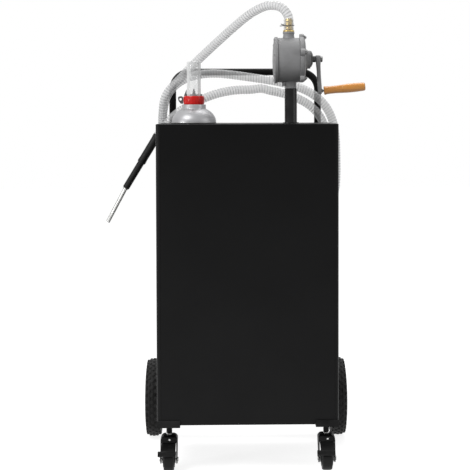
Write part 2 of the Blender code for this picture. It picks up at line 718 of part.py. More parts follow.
def make_pump_housing(root, paints):
    """One casting: the drum with its bored chamber, the two ports and the drain boss."""
    at = pump_x()
    outline = [
        (CHAMBER_RADIUS, 0), (DRUM_RADIUS, 0), (DRUM_RADIUS, DRUM_LENGTH), (CHAMBER_RADIUS, DRUM_LENGTH),
    ]
    place = (at["drum"], 0, PUMP_Z)
    drum = lathe("pump_housing", outline, 28, paints["cast_metal"], root, place, "X", closed=True)
    inner = (CHAMBER_RADIUS + DRUM_RADIUS) / 2
    reach = math.sqrt(DRUM_RADIUS**2 - BOTTOM_NECK_RADIUS**2) + BOTTOM_NECK_DROP
    rise = DRUM_RADIUS + TOP_NECK_RISE
    for x, radius, low, high in (
        (OUTLET_X, NECK_OUTER_RADIUS, inner, rise), (PIPE_X, BOTTOM_NECK_RADIUS, -reach, -inner),
    ):
        neck = lathe_mesh([(0, high), (radius, high), (radius, low), (0, low)], 16)
        join(drum, neck, root, (x, 0, PUMP_Z))
    drop = -DRUM_RADIUS - DRAIN_DROP
    drain = lathe_mesh([(0, -inner), (DRAIN_RADIUS, -inner), (DRAIN_RADIUS, drop), (0, drop)], 6)
    join(drum, drain, root, (at["drum"] + DRAIN_FROM_LEFT, 0, PUMP_Z))
    for x, low, high in ((OUTLET_X, 0, rise + CUT_OVERRUN), (PIPE_X, -reach - CUT_OVERRUN, 0)):
        cut(drum, prism_mesh(circle(PORT_RADIUS, 12), low, high), root, (x, 0, PUMP_Z))


def make_pump_covers(root, paints):
    at = pump_x()
    chamfer = REAR_COVER_THICKNESS / 4
    outline = [
        (0, -REAR_COVER_BULGE),
        (REAR_COVER_RADIUS / 2, -REAR_COVER_BULGE * 0.72),
        (REAR_COVER_RADIUS - chamfer, 0),
        (REAR_COVER_RADIUS, chamfer),
        (REAR_COVER_RADIUS, REAR_COVER_THICKNESS),
        (0, REAR_COVER_THICKNESS),
    ]
    rear = lathe("pump_rear_cover", outline, 28, paints["cast_metal"], root, (at["rear"], 0, PUMP_Z), "X")
    bearing = prism_mesh(
        circle(SHAFT_RADIUS + GAP, 20), REAR_COVER_THICKNESS / 4, REAR_COVER_THICKNESS + CUT_OVERRUN, "X"
    )
    cut(rear, bearing, root, (at["rear"], 0, SHAFT_Z))

    face = circle(FRONT_COVER_RADIUS, 28)
    cover = prism("pump_front_cover", face, 0, FRONT_COVER_THICKNESS, paints["cast_metal"], root,
                  (at["front"], 0, PUMP_Z), axis="X")
    for i in range(FRONT_EARS):
        angle = math.tau * (i / FRONT_EARS)
        centre = (FRONT_EAR_REACH * math.cos(angle), FRONT_EAR_REACH * math.sin(angle))
        ear = prism_mesh(circle(FRONT_EAR_RADIUS, 10, centre), 0, FRONT_COVER_THICKNESS * 0.7, "X")
        join(cover, ear, root, (at["front"], 0, PUMP_Z))
        stud = prism_mesh(circle(FRONT_EAR_RADIUS * 0.55, 6, centre), FRONT_COVER_THICKNESS / 2,
                          FRONT_COVER_THICKNESS * 1.15, "X")
        join(cover, stud, root, (at["front"], 0, PUMP_Z))
    step = BOSS_LENGTH * 0.4
    start = -FRONT_COVER_THICKNESS / 2
    boss = lathe_mesh(
        [(0, start), (BOSS_RADIUS, start), (BOSS_RADIUS, step), (BOSS_END_RADIUS, step),
         (BOSS_END_RADIUS, BOSS_LENGTH), (0, BOSS_LENGTH)],
        20, "X",
    )
    join(cover, boss, root, (at["boss"], 0, SHAFT_Z))
    inside = SHAFT_RADIUS + GAP
    low = -FRONT_COVER_THICKNESS - CUT_OVERRUN
    bore = prism_mesh(circle(inside, 20), low, BOSS_LENGTH + CUT_OVERRUN, "X")
    cut(cover, bore, root, (at["boss"], 0, SHAFT_Z))
    outline = [
        (inside, 0), (PACKING_RADIUS, 0), (PACKING_END_RADIUS, PACKING_LENGTH), (inside, PACKING_LENGTH),
    ]
    place = (at["packing"], 0, SHAFT_Z)
    lathe("packing_nut", outline, 20, paints["cast_metal"], root, place, "X", closed=True)


def make_rotor(crank, paints):
    """The rotor on its shaft, slotted for the vanes. The origin is on the shaft at the hub's start."""
    at = pump_x()
    hub = at["hub"]
    bearing = at["rear"] + REAR_COVER_THICKNESS / 4 + GAP - hub
    low = at["drum"] + ROTOR_END_GAP - hub
    high = at["drum"] + DRUM_LENGTH - ROTOR_END_GAP - hub
    end = CRANK_HUB_LENGTH + CRANK_NUT_HEIGHT
    outline = [
        (0, bearing),
        (SHAFT_RADIUS, bearing),
        (SHAFT_RADIUS, low),
        (ROTOR_RADIUS, low),
        (ROTOR_RADIUS, high),
        (SHAFT_RADIUS, high),
        (SHAFT_RADIUS, -GAP),
        (SHAFT_END_RADIUS, -GAP),
        (SHAFT_END_RADIUS, end),
        (0, end),
    ]
    rotor = lathe("pump_rotor", outline, 24, paints["dark_steel"], crank, axis="X")
    slot_base = ROTOR_RADIUS - VANE_HEIGHT
    slot_half = VANE_THICKNESS / 2 + VANE_SIDE_GAP
    for i in range(VANES):
        turn = Matrix.Rotation(math.tau * (i + 0.5) / VANES, 4, "X")
        length = high - low
        slot = box_mesh(
            (length + 2 * CUT_OVERRUN, 2 * slot_half, VANE_HEIGHT + CUT_OVERRUN),
            ((low + high) / 2, 0, slot_base + (VANE_HEIGHT + CUT_OVERRUN) / 2),
        )
        bmesh.ops.transform(slot, matrix=turn, verts=slot.verts)
        cut(rotor, slot, crank)
        blade = box_mesh(
            (length, VANE_THICKNESS, VANE_HEIGHT + VANE_PROUD - GAP),
            ((low + high) / 2, 0, slot_base + GAP + (VANE_HEIGHT + VANE_PROUD - GAP) / 2),
        )
        bmesh.ops.transform(blade, matrix=turn, verts=blade.verts)
        finish_mesh(blade, f"vane_{i + 1}", paints["dark_plastic"], crank)


def make_crank(crank, paints):
    """The splayed arm, its nut, and the grip that spins on its spindle."""
    splay = math.tan(math.radians(CRANK_SPLAY_DEG))
    shift = CRANK_RADIUS * splay
    # The arm is a loft of four cross-sections, from above the hub to below the spindle.
    tip = shift + CRANK_END_THICKNESS
    sections = [
        (CRANK_HUB_RADIUS, 0, CRANK_HUB_LENGTH, CRANK_HUB_RADIUS * 0.55),
        (CRANK_HUB_RADIUS * 0.45, 0, CRANK_HUB_LENGTH, CRANK_HUB_RADIUS),
        (-CRANK_HUB_RADIUS * 0.9, shift * 0.1, CRANK_HUB_LENGTH, CRANK_HUB_RADIUS),
        (-CRANK_RADIUS * 0.35, shift * 0.45, CRANK_HUB_LENGTH, CRANK_END_RADIUS * 0.9),
        (-CRANK_RADIUS + CRANK_END_RADIUS * 0.6, shift, tip, CRANK_END_RADIUS),
        (-CRANK_RADIUS - CRANK_END_RADIUS * 0.5, shift, tip, CRANK_END_RADIUS * 0.85),
        (-CRANK_RADIUS - CRANK_END_RADIUS, shift + GAP, tip - GAP, CRANK_END_RADIUS * 0.5),
    ]
    bm = bmesh.new()
    rings = []
    for z, left, right, half in sections:
        corner = min(half, (right - left) / 2) * 0.35
        ring = [
            (left, -half + corner), (left + corner, -half), (right - corner, -half), (right, -half + corner),
            (right, half - corner), (right - corner, half), (left + corner, half), (left, half - corner),
        ]
        rings.append([bm.verts.new((x, y, z)) for x, y in ring])
    for above, below in zip(rings, rings[1:]):
        for i in range(len(above)):
            j = (i + 1) % len(above)
            bm.faces.new((above[i], above[j], below[j], below[i]))
    bm.faces.new(rings[0])
    bm.faces.new(rings[-1])
    arm = finish_mesh(bm, "crank_arm", paints["cast_metal"], crank)
    bore = prism_mesh(circle(SHAFT_END_RADIUS + GAP, 20), -CUT_OVERRUN, CRANK_HUB_LENGTH + CUT_OVERRUN, "X")
    cut(arm, bore, crank)

    nut = [(SHAFT_END_RADIUS + GAP, 0), (CRANK_NUT_RADIUS, 0), (CRANK_NUT_RADIUS * 0.8, CRANK_NUT_HEIGHT),
           (SHAFT_END_RADIUS + GAP, CRANK_NUT_HEIGHT)]
    place = (CRANK_HUB_LENGTH + GAP, 0, 0)
    lathe("crank_nut", nut, 12, paints["dark_steel"], crank, place, "X", closed=True)

    grip = empty("grip_axis", crank, (tip, 0, -CRANK_RADIUS), (0, math.radians(-GRIP_TILT_DEG), 0))
    stub = CRANK_END_THICKNESS / 2
    end = SPINDLE_SHOW + GRIP_LENGTH * 0.9
    outline = [(0, -stub), (SPINDLE_RADIUS, -stub), (SPINDLE_RADIUS, end), (0, end)]
    lathe("grip_spindle", outline, 16, paints["dark_steel"], grip, axis="X")
    bore = SPINDLE_RADIUS + GAP
    socket = lathe_mesh([(0, -stub - GAP), (bore, -stub - GAP), (bore, stub), (0, stub)], 16, "X")
    cut(arm, socket, grip)
    make_grip(grip, paints)


def make_grip(grip, paints):
    """A turned wooden grip: flared at the arm, waisted, then full towards its end."""
    shares = [
        (0.000, 0.80), (0.010, 0.96), (0.030, 0.95), (0.070, 0.87), (0.130, 0.83), (0.300, 0.83), (0.450, 0.91),
        (0.600, 0.98), (0.750, 0.98), (0.890, 0.93), (0.970, 0.89), (0.990, 0.85), (1.000, 0.74),
    ]
    bore = SPINDLE_RADIUS + GAP
    depth = GRIP_LENGTH * 0.9 + GAP
    outline = [(bore, 0)]
    outline += [(GRIP_RADIUS * wide, GRIP_LENGTH * along) for along, wide in shares]
    outline += [(0, GRIP_LENGTH), (0, depth), (bore, depth)]
    lathe("wooden_grip", outline, GRIP_STEPS, paints["wood"], grip, (SPINDLE_SHOW, 0, 0), "X", closed=True)


def make_outlet(root, paints):
    """The brass barb on the pump's top port, the hose's end pushed over it and the hose clamp."""
    seat = PUMP_Z + DRUM_RADIUS + TOP_NECK_RISE + GAP
    outline = [(BARB_BORE_RADIUS, 0), (BARB_SEAT_RADIUS, 0), (BARB_SEAT_RADIUS, BARB_SEAT_HEIGHT)]
    pitch = BARB_LENGTH / BARB_RINGS
    for i in range(BARB_RINGS):
        base = BARB_SEAT_HEIGHT + i * pitch
        outline.append((BARB_WAIST_RADIUS, base))
        outline.append((BARB_RADIUS, base + pitch * 0.3))
        outline.append((BARB_WAIST_RADIUS, base + pitch * 0.95))
    end = BARB_SEAT_HEIGHT + BARB_LENGTH
    outline += [(BARB_WAIST_RADIUS * 0.9, end), (BARB_BORE_RADIUS, end)]
    lathe("outlet_barb", outline, 12, paints["brass"], root, (OUTLET_X, 0, seat), closed=True)

    inside = BARB_RADIUS + GAP
    low = BARB_SEAT_HEIGHT + GAP
    outline = [(inside, low), (HOSE_END_RADIUS, low), (HOSE_END_RADIUS, end), (inside, end)]
    lathe("hose_end", outline, 16, paints["clear_plastic"], root, (OUTLET_X, 0, seat), closed=True)

    clamp_z = seat + CLAMP_RISE
    inside = HOSE_END_RADIUS + GAP
    outline = [(inside, 0), (CLAMP_RADIUS, 0), (CLAMP_RADIUS, CLAMP_WIDTH), (inside, CLAMP_WIDTH)]
    turned = empty("clamp_turn", root, (OUTLET_X, 0, clamp_z), (0, 0, math.radians(CLAMP_TURN_DEG)))
    band = lathe("hose_clamp", outline, 20, paints["bright_steel"], turned, closed=True)
    centre = CLAMP_RADIUS + CLAMP_SCREW_RADIUS * 0.8
    half = CLAMP_SCREW_LENGTH / 2
    screw = prism_mesh(circle(CLAMP_SCREW_RADIUS, 12, (centre, CLAMP_WIDTH / 2)), -half, half, "Y")
    join(band, screw, turned)
    return seat + end


def hose_points(start, start_way, start_run, route, end, end_way, end_run):
    """Points along a stretch of hose: a straight run at each end, and a smooth curve between.

    The curve passes through the route's places, and its points are read off at even steps.
    """
    places = [start, start + start_way * start_run, *map(Vector, route), end - end_way * end_run, end]
    fine = []
    for a, b, c, d in zip(places, places[1:], places[2:], places[3:]):
        for i in range(24):
            t = i / 24
            bend = (2 * a - 5 * b + 4 * c - d) * t**2 + (3 * b - a - 3 * c + d) * t**3
            fine.append((2 * b + (c - a) * t + bend) / 2)
    fine.append(places[-2])
    length = sum((q - p).length for p, q in zip(fine, fine[1:]))
    count = round(length / (2 * HOSE_RADIUS * HOSE_POINT_DIAMETERS))
    points, walked = [start], 0.0
    for p, q in zip(fine, fine[1:]):
        run = (q - p).length
        while len(points) <= count and walked + run >= length * (len(points) - 1) / count:
            points.append(p.lerp(q, (length * (len(points) - 1) / count - walked) / run))
        walked += run
    return points + [places[-2], end], length + start_run + end_run


def coil_point(loops):
    """The coil's centre line so many loops after its left side. It runs down, right, up and back.

    A loop is an oval whose corners get squarer towards the lower left, and whose upper half falls
    to the right. Each loop is drawn in on its right and top, and sways from the lane at the tank to
    the lane at the handle and back. Its upper left corner passes in front of the handle's leg, and
    outside the leg it bulges to the rear, where the hose's tail passes in front of it.
    """
    angle = math.pi + math.tau * loops
    lean = max(0.0, math.cos(angle - math.radians(COIL_SQUARE_ANGLE_DEG)))
    power = COIL_ROUND_POWER + (COIL_SQUARE_POWER - COIL_ROUND_POWER) * lean**2
    across, up = math.cos(angle), math.sin(angle)
    reach = (abs(across) ** power + abs(up) ** power) ** (-1 / power)
    narrower = COIL_DRAW_IN_X * loops
    lower = COIL_DRAW_IN_Z * loops
    aside = (COIL_HALF_WIDTH - narrower) * reach * across
    rise = (COIL_HALF_HEIGHT - lower) * reach * up - COIL_TOP_SLOPE * aside * max(0.0, up)
    sway = COIL_LANE_SWAY * math.cos(math.pi * (loops - COIL_SWAY_START))
    bulge = max(0.0, math.cos(angle - math.radians(COIL_BULGE_ANGLE_DEG))) ** COIL_BULGE_POWER
    return Vector((
        COIL_CENTRE_X - narrower + aside,
        COIL_Y - sway + COIL_BULGE * bulge,
        COIL_CENTRE_Z - lower + rise,
    ))


def coil_points():
    count = round(COIL_LOOPS * COIL_POINTS_PER_LOOP)
    return [coil_point(COIL_LOOPS * i / count) for i in range(count + 1)]


def gap_to_itself():
    """The least gap between stretches of the coil that lie at least a quarter loop apart."""
    fine = [coil_point(COIL_LOOPS * i / 600) for i in range(601)]
    apart = round(600 / COIL_LOOPS / 4)
    least = min((a - b).length for i, a in enumerate(fine) for b in fine[i + apart:])
    return least - 2 * HOSE_RADIUS


# The free stretches of hose, as places chosen along their route
HOSE_LEAD_ROUTE = [
    (0.1170, 0.002, 1.3095), (0.1083, 0.006, 1.3204), (0.0953, 0.011, 1.3279), (0.0794, 0.018, 1.3311),
    (0.0634, 0.026, 1.3306), (0.0489, 0.034, 1.3269), (0.0313, 0.044, 1.3191), (0.0137, 0.054, 1.3093),
    (-0.0124, 0.070, 1.2906), (-0.0405, 0.086, 1.2678), (-0.0670, 0.101, 1.2448), (-0.0938, 0.115, 1.2215),
    (-0.1201, 0.128, 1.1979), (-0.1463, 0.141, 1.1742), (-0.1715, 0.153, 1.1497), (-0.1958, 0.164, 1.1244),
    (-0.2165, 0.172, 1.1037), (-0.2340, 0.177, 1.0850), (-0.2447, 0.180, 1.0685), (-0.2511, 0.184, 1.0510),
    (-0.2543, 0.1888, 1.0313), (-0.2564, 0.1978, 1.0097), (-0.2578, 0.2062, 0.9879), (-0.2585, 0.2095, 0.9600),
    (-0.2585, 0.2055, 0.9330),
]
HOSE_TAIL_ROUTE = [
    (0.0120, 0.1950, 1.0858), (-0.0217, 0.1925, 1.0849), (-0.0552, 0.1890, 1.0807), (-0.0889, 0.1850, 1.0732),
    (-0.1223, 0.1820, 1.0614), (-0.1573, 0.1800, 1.0465), (-0.1910, 0.1800, 1.0265), (-0.2089, 0.1800, 1.0150),
    (-0.2243, 0.1795, 1.0019), (-0.2398, 0.1795, 0.9853), (-0.2534, 0.1795, 0.9687),
]
NOZZLE_START = (-0.2711, 0.1805, 0.9461)
NOZZLE_KNEE = (-0.3702, 0.1805, 0.7829)
NOZZLE_END = (-0.4259, 0.1805, 0.6785)


def make_hose(root, paints, barb_top):
    """The hose in three pieces that meet face to face: the lead, the coil and the tail."""
    coil = coil_points()
    first = (coil[1] - coil[0]).normalized()
    last = (coil[-1] - coil[-2]).normalized()
    straight = 2 * HOSE_RADIUS
    start = Vector((OUTLET_X, 0, barb_top + GAP))
    up = Vector((0, 0, 1))
    lead, lead_length = hose_points(
        start, up, straight / 4, HOSE_LEAD_ROUTE, coil[0] - first * GAP, first, straight
    )
    tube("hose_lead", lead, HOSE_RADIUS, 2, paints["clear_plastic"], root)
    tube("hose_coil", coil, HOSE_RADIUS, 1, paints["clear_plastic"], root)
    nozzle = Vector(NOZZLE_START)
    aim = (Vector(NOZZLE_KNEE) - nozzle).normalized()
    tail, tail_length = hose_points(
        coil[-1] + last * GAP, last, straight, HOSE_TAIL_ROUTE, nozzle - aim * GAP, aim, straight / 3
    )
    tube("hose_tail", tail, HOSE_RADIUS, 2, paints["clear_plastic"], root)
    coil_length = sum((b - a).length for a, b in zip(coil, coil[1:]))
    total = lead_length + coil_length + tail_length + BARB_LENGTH
    points = len(lead) + len(coil) + len(tail)
    print(f"hose length {total:.3f} m in {points} points")
    print(f"least gap of the coil to itself {gap_to_itself():.5f} m")


def aimed(name, parent, start, end):
    """An empty at the start whose Z axis points at the end."""
    turned = empty(name, parent, start)
    turned.rotation_mode = "QUATERNION"
    turned.rotation_quaternion = (Vector(end) - Vector(start)).to_track_quat("Z", "Y")
    return turned


def make_nozzle(root, paints):
    """Rubber grip and thinner barrel on one line, and the spout, which leans a little inward."""
    turned = aimed("nozzle_axis", root, NOZZLE_START, NOZZLE_KNEE)
    chamfer = NOZZLE_GRIP_RADIUS / 8
    rim = NOZZLE_GRIP_RADIUS
    waist = rim - NOZZLE_GRIP_WAIST
    length = (Vector(NOZZLE_KNEE) - Vector(NOZZLE_START)).length
    grip = length * NOZZLE_GRIP_SHARE
    collar = NOZZLE_GRIP_COLLAR
    outline = [
        (0, 0), (rim - chamfer, 0), (rim, chamfer), (rim, collar), (waist, collar + chamfer),
        (waist, grip - collar - chamfer), (rim, grip - collar), (rim, grip - chamfer),
        (rim - chamfer, grip), (0, grip),
    ]
    lathe("nozzle_grip", outline, 16, paints["black_rubber"], turned)
    base = grip + GAP
    outline = [
        (0, base), (NOZZLE_BARREL_RADIUS, base), (NOZZLE_BARREL_RADIUS, length - chamfer),
        (NOZZLE_BARREL_RADIUS - chamfer, length), (0, length),
    ]
    lathe("nozzle_barrel", outline, 16, paints["black_rubber"], turned)
    leaned = aimed("spout_axis", root, NOZZLE_KNEE, NOZZLE_END)
    end = (Vector(NOZZLE_END) - Vector(NOZZLE_KNEE)).length
    bore = NOZZLE_SPOUT_RADIUS - NOZZLE_SPOUT_WALL
    outline = [
        (0, 2 * GAP), (NOZZLE_SPOUT_RADIUS, 2 * GAP), (NOZZLE_SPOUT_RADIUS, end), (bore, end),
        (bore, end - NOZZLE_SPOUT_HOLE_DEPTH), (0, end - NOZZLE_SPOUT_HOLE_DEPTH),
    ]
    lathe("nozzle_spout", outline, 12, paints["bright_steel"], leaned)


def make_handle(root, paints):
    """The U of tube, standing on the axle tube, with its brace and the brace's two standoffs."""
    half = HANDLE_WIDTH / 2
    foot = WHEEL_RADIUS + AXLE_TUBE_RADIUS + GAP
    top = TANK_TOP + HANDLE_RISE
    bend = HANDLE_BEND_RADIUS
    right = circle(bend, HANDLE_BEND_STEPS, (half - bend, top - bend), 0, 90)
    left = circle(bend, HANDLE_BEND_STEPS, (bend - half, top - bend), 90, 180)
    route = [(half, foot)] + right + left + [(-half, foot)]
    line = [(x, AXLE_Y, z) for x, z in route]
    tube("push_handle", line, HANDLE_TUBE_RADIUS, 3, paints["black_paint"], root)
    reach = half - HANDLE_TUBE_RADIUS - GAP
    outline = [(0, -reach), (HANDLE_TUBE_RADIUS, -reach), (HANDLE_TUBE_RADIUS, reach), (0, reach)]
    brace = lathe("handle_brace", outline, 12, paints["black_paint"], root, (0, AXLE_Y, BRACE_Z), "X")
    near = BACK + GAP - AXLE_Y
    outline = [
        (0, near), (STANDOFF_FOOT_RADIUS, near), (STANDOFF_FOOT_RADIUS, near + STANDOFF_FOOT),
        (STANDOFF_RADIUS, near + STANDOFF_FOOT), (STANDOFF_RADIUS, 0), (0, 0),
    ]
    for side in (-1, 1):
        join(brace, lathe_mesh(outline, 12, "Y"), root, (side * STANDOFF_SPACING / 2, AXLE_Y, BRACE_Z))


def make_hose_hooks(root, paints):
    """Two flat strips bent to a J on the tank's back. The coil's lowest lanes lie in them."""
    lane_low = COIL_Y - COIL_LANE_SWAY - HOSE_RADIUS
    lane_high = COIL_Y + COIL_LANE_SWAY + HOSE_RADIUS
    near = BACK + GAP
    for name, side in (("left", -1), ("right", 1)):
        x = COIL_CENTRE_X - COIL_DRAW_IN_X / 2 + side * HOOK_SPACING / 2
        edges = (x - HOOK_WIDTH / 2, x + HOOK_WIDTH / 2)
        under = [
            coil_point(COIL_LOOPS * i / 600).z for i in range(601)
            if edges[0] - HOSE_RADIUS < coil_point(COIL_LOOPS * i / 600).x < edges[1] + HOSE_RADIUS
        ]
        seat = min(under) - HOSE_RADIUS - GAP
        lip = lane_high + GAP
        outline = [
            (near, seat - HOOK_BACK),
            (near + HOOK_STRIP, seat - HOOK_BACK),
            (near + HOOK_STRIP, seat - HOOK_STRIP * 2),
            (near + HOOK_STRIP * 2, seat - HOOK_STRIP),
            (lip - HOOK_STRIP, seat - HOOK_STRIP),
            (lip + HOOK_STRIP / 2, seat),
            (lip + HOOK_STRIP, seat + HOOK_STRIP),
            (lip + HOOK_STRIP, seat + HOOK_LIP),
            (lip, seat + HOOK_LIP),
            (lip, seat + HOOK_STRIP / 2),
            (lip - HOOK_STRIP / 2, seat),
            (min(lane_low, near + HOOK_STRIP), seat),
            (near, seat - HOOK_STRIP / 2),
        ]
        prism(f"hose_hook_{name}", outline, *edges, paints["black_paint"], root, axis="X")


def tyre_outline():
    """One closed section of the tyre, as (radius, place across)."""
    half_shares = [
        (0.00, 0.65), (0.30, 0.96), (0.55, 1.00), (0.80, 0.91), (0.95, 0.62),
    ]
    height = WHEEL_RADIUS - TYRE_LUG_HEIGHT - RIM_RADIUS - GAP
    base = RIM_RADIUS + GAP
    side = [(base + height * up, TYRE_WIDTH / 2 * out) for up, out in half_shares]
    crown = [(base + height, 0)]
    mirrored = [(radius, -across) for radius, across in reversed(side)]
    return side + crown + mirrored


def make_rear_wheel(root, paints, name, side):
    wheel = empty(f"wheel_{name}_axis", root, (side * TRACK / 2, AXLE_Y, WHEEL_RADIUS))
    rubber = paints["black_rubber"]
    tyre = lathe(f"tyre_{name}", tyre_outline(), TYRE_STEPS, rubber, wheel, axis="X", closed=True)
    # Tread lugs stand in two staggered rows on the crown and reach over the shoulders.
    low = RIM_RADIUS + (WHEEL_RADIUS - RIM_RADIUS) * 0.70
    bm = bmesh.new()
    for i in range(TYRE_LUGS):
        across = TYRE_WIDTH / 2 * 0.82
        inner = -TYRE_WIDTH / 2 * 0.10
        span = math.tau / TYRE_LUGS * 0.30
        row = 1 if i % 2 else -1
        middle = math.tau * i / TYRE_LUGS
        corners = []
        for angle in (middle - span, middle + span):
            y, z = math.cos(angle), math.sin(angle)
            for radius, place in (
                (low, across), (WHEEL_RADIUS * 0.965, across), (WHEEL_RADIUS, across * 0.66),
                (WHEEL_RADIUS, inner), (low, inner),
            ):
                corners.append(bm.verts.new((row * place, radius * y, radius * z)))
        count = len(corners) // 2
        near, far = corners[:count], corners[count:]
        bm.faces.new(near)
        bm.faces.new(far)
        for k in range(count):
            following = (k + 1) % count
            bm.faces.new((near[k], near[following], far[following], far[k]))
    join(tyre, bm, wheel)

    half = RIM_WIDTH / 2
    hub = HUB_LENGTH / 2
    bore = AXLE_RADIUS + GAP
    disc = RIM_DISC / 2
    inner = RIM_RADIUS - RIM_SHEET
    outline = [
        (bore, -hub), (HUB_RADIUS, -hub), (HUB_RADIUS, -disc), (inner - RIM_DISC, -disc), (inner, -half),
        (RIM_RADIUS, -half), (RIM_RADIUS, half), (inner, half), (inner - RIM_DISC, disc), (HUB_RADIUS, disc),
        (HUB_RADIUS, hub), (bore, hub),
    ]
    lathe(f"rim_{name}", outline, TYRE_STEPS, paints["black_paint"], wheel, axis="X", closed=True)


def make_axle(root, paints):
    """The axle with its pressed caps, in the tube that runs from hub to hub."""
    place = (0, AXLE_Y, WHEEL_RADIUS)
    half = (TRACK - HUB_LENGTH) / 2 - GAP
    bore = AXLE_RADIUS + GAP
    outline = [(bore, -half), (AXLE_TUBE_RADIUS, -half), (AXLE_TUBE_RADIUS, half), (bore, half)]
    lathe("axle_tube", outline, 14, paints["black_paint"], root, place, "X", closed=True)
    face = (TRACK + HUB_LENGTH) / 2 + GAP
    crown = AXLE_RADIUS + AXLE_CAP_WALL
    end = [
        (AXLE_RADIUS, face), (AXLE_CAP_RADIUS, face), (AXLE_CAP_RADIUS, face + AXLE_CAP_WALL),
        (crown, face + AXLE_CAP_WALL), (crown, face + AXLE_CAP_DEPTH - AXLE_CAP_WALL / 2),
        (crown - AXLE_CAP_WALL, face + AXLE_CAP_DEPTH), (0, face + AXLE_CAP_DEPTH),
    ]
    outline = [(radius, -across) for radius, across in reversed(end)] + end
    lathe("axle", outline, 14, paints["bright_steel"], root, place, "X")
    for name, side in (("left", -1), ("right", 1)):
        make_axle_bracket(root, paints, name, side)


def make_axle_bracket(root, paints, name, side):
    """A gusset plate from the tank's back down round the axle tube."""
    near = BACK + GAP
    low = TANK_UNDERSIDE + TANK_CORNER_RADIUS
    eye = circle(AXLE_BRACKET_EYE, 12, (AXLE_Y, WHEEL_RADIUS), -115, 75)
    outline = [(near, low)] + eye + [(near + AXLE_BRACKET_EYE / 2, low + AXLE_BRACKET_HEIGHT),
                                     (near, low + AXLE_BRACKET_HEIGHT)]
    x = side * AXLE_BRACKET_SPACING / 2
    half = AXLE_BRACKET_PLATE / 2
    plate = prism(f"axle_bracket_{name}", outline, x - half, x + half, paints["black_paint"], root, axis="X")
    hole = circle(AXLE_TUBE_RADIUS + GAP, 24, (AXLE_Y, WHEEL_RADIUS))
    cut(plate, prism_mesh(hole, x - half - CUT_OVERRUN, x + half + CUT_OVERRUN, "X"), root)


def make_caster(root, paints, name, side):
    x = side * CASTER_SPACING / 2
    sheet = CASTER_BRACKET_SHEET
    under = TANK_UNDERSIDE - GAP
    floor = under - CASTER_BRACKET_FLOOR
    face = FRONT - GAP
    outline = [
        (face - sheet, floor), (face - sheet + CASTER_BRACKET_LEG, floor),
        (face - sheet + CASTER_BRACKET_LEG, under), (face, under), (face, floor + CASTER_BRACKET_LIP),
        (face - sheet, floor + CASTER_BRACKET_LIP),
    ]
    half = CASTER_BRACKET_WIDTH / 2
    prism(f"caster_bracket_{name}", outline, x - half, x + half, paints["black_paint"], root, axis="X")

    swivel = empty(f"swivel_{name}_axis", root, (x, CASTER_Y, 0))
    race_low = CASTER_HOUSING_TOP + GAP
    race_high = race_low + CASTER_RACE_HEIGHT
    head_high = CASTER_HOUSING_TOP - CASTER_HOUSING_WALL - GAP
    outline = [
        (0, floor - GAP), (CASTER_STEM_RADIUS, floor - GAP), (CASTER_STEM_RADIUS, race_high),
        (CASTER_RACE_RADIUS, race_high), (CASTER_RACE_RADIUS, race_low), (KINGPIN_RADIUS, race_low),
        (KINGPIN_RADIUS, head_high), (KINGPIN_HEAD_RADIUS, head_high),
        (KINGPIN_HEAD_RADIUS - KINGPIN_HEAD / 2, head_high - KINGPIN_HEAD), (0, head_high - KINGPIN_HEAD),
    ]
    lathe(f"caster_stem_{name}", outline, 14, paints["bright_steel"], swivel)
    make_caster_fork(swivel, paints, name)

    roll = empty(f"roll_{name}_axis", swivel, (0, -CASTER_TRAIL, CASTER_WHEEL_RADIUS))
    bore = CASTER_AXLE_RADIUS + GAP
    tread = CASTER_TREAD_WIDTH / 2
    hub = CASTER_HUB_WIDTH / 2
    crown = CASTER_TREAD_WIDTH / 8
    radius = CASTER_WHEEL_RADIUS
    boss = CASTER_HUB_RADIUS
    outline = [
        (bore, -hub), (boss, -hub), (boss, -tread), (radius - crown, -tread),
        (radius, -tread + crown), (radius, tread - crown), (radius - crown, tread), (boss, tread),
        (boss, hub), (bore, hub),
    ]
    lathe(f"caster_wheel_{name}", outline, 22, paints["black_rubber"], roll, axis="X", closed=True)
    reach = CASTER_HOUSING_WIDTH / 2 + GAP
    head = reach + CASTER_AXLE_HEAD
    outline = [
        (0, -head), (CASTER_AXLE_HEAD_RADIUS, -head), (CASTER_AXLE_HEAD_RADIUS, -reach),
        (CASTER_AXLE_RADIUS, -reach), (CASTER_AXLE_RADIUS, reach), (CASTER_AXLE_HEAD_RADIUS, reach),
        (CASTER_AXLE_HEAD_RADIUS, head), (0, head),
    ]
    lathe(f"caster_axle_{name}", outline, 14, paints["bright_steel"], roll, axis="X")
    make_caster_brake(swivel, paints, name)


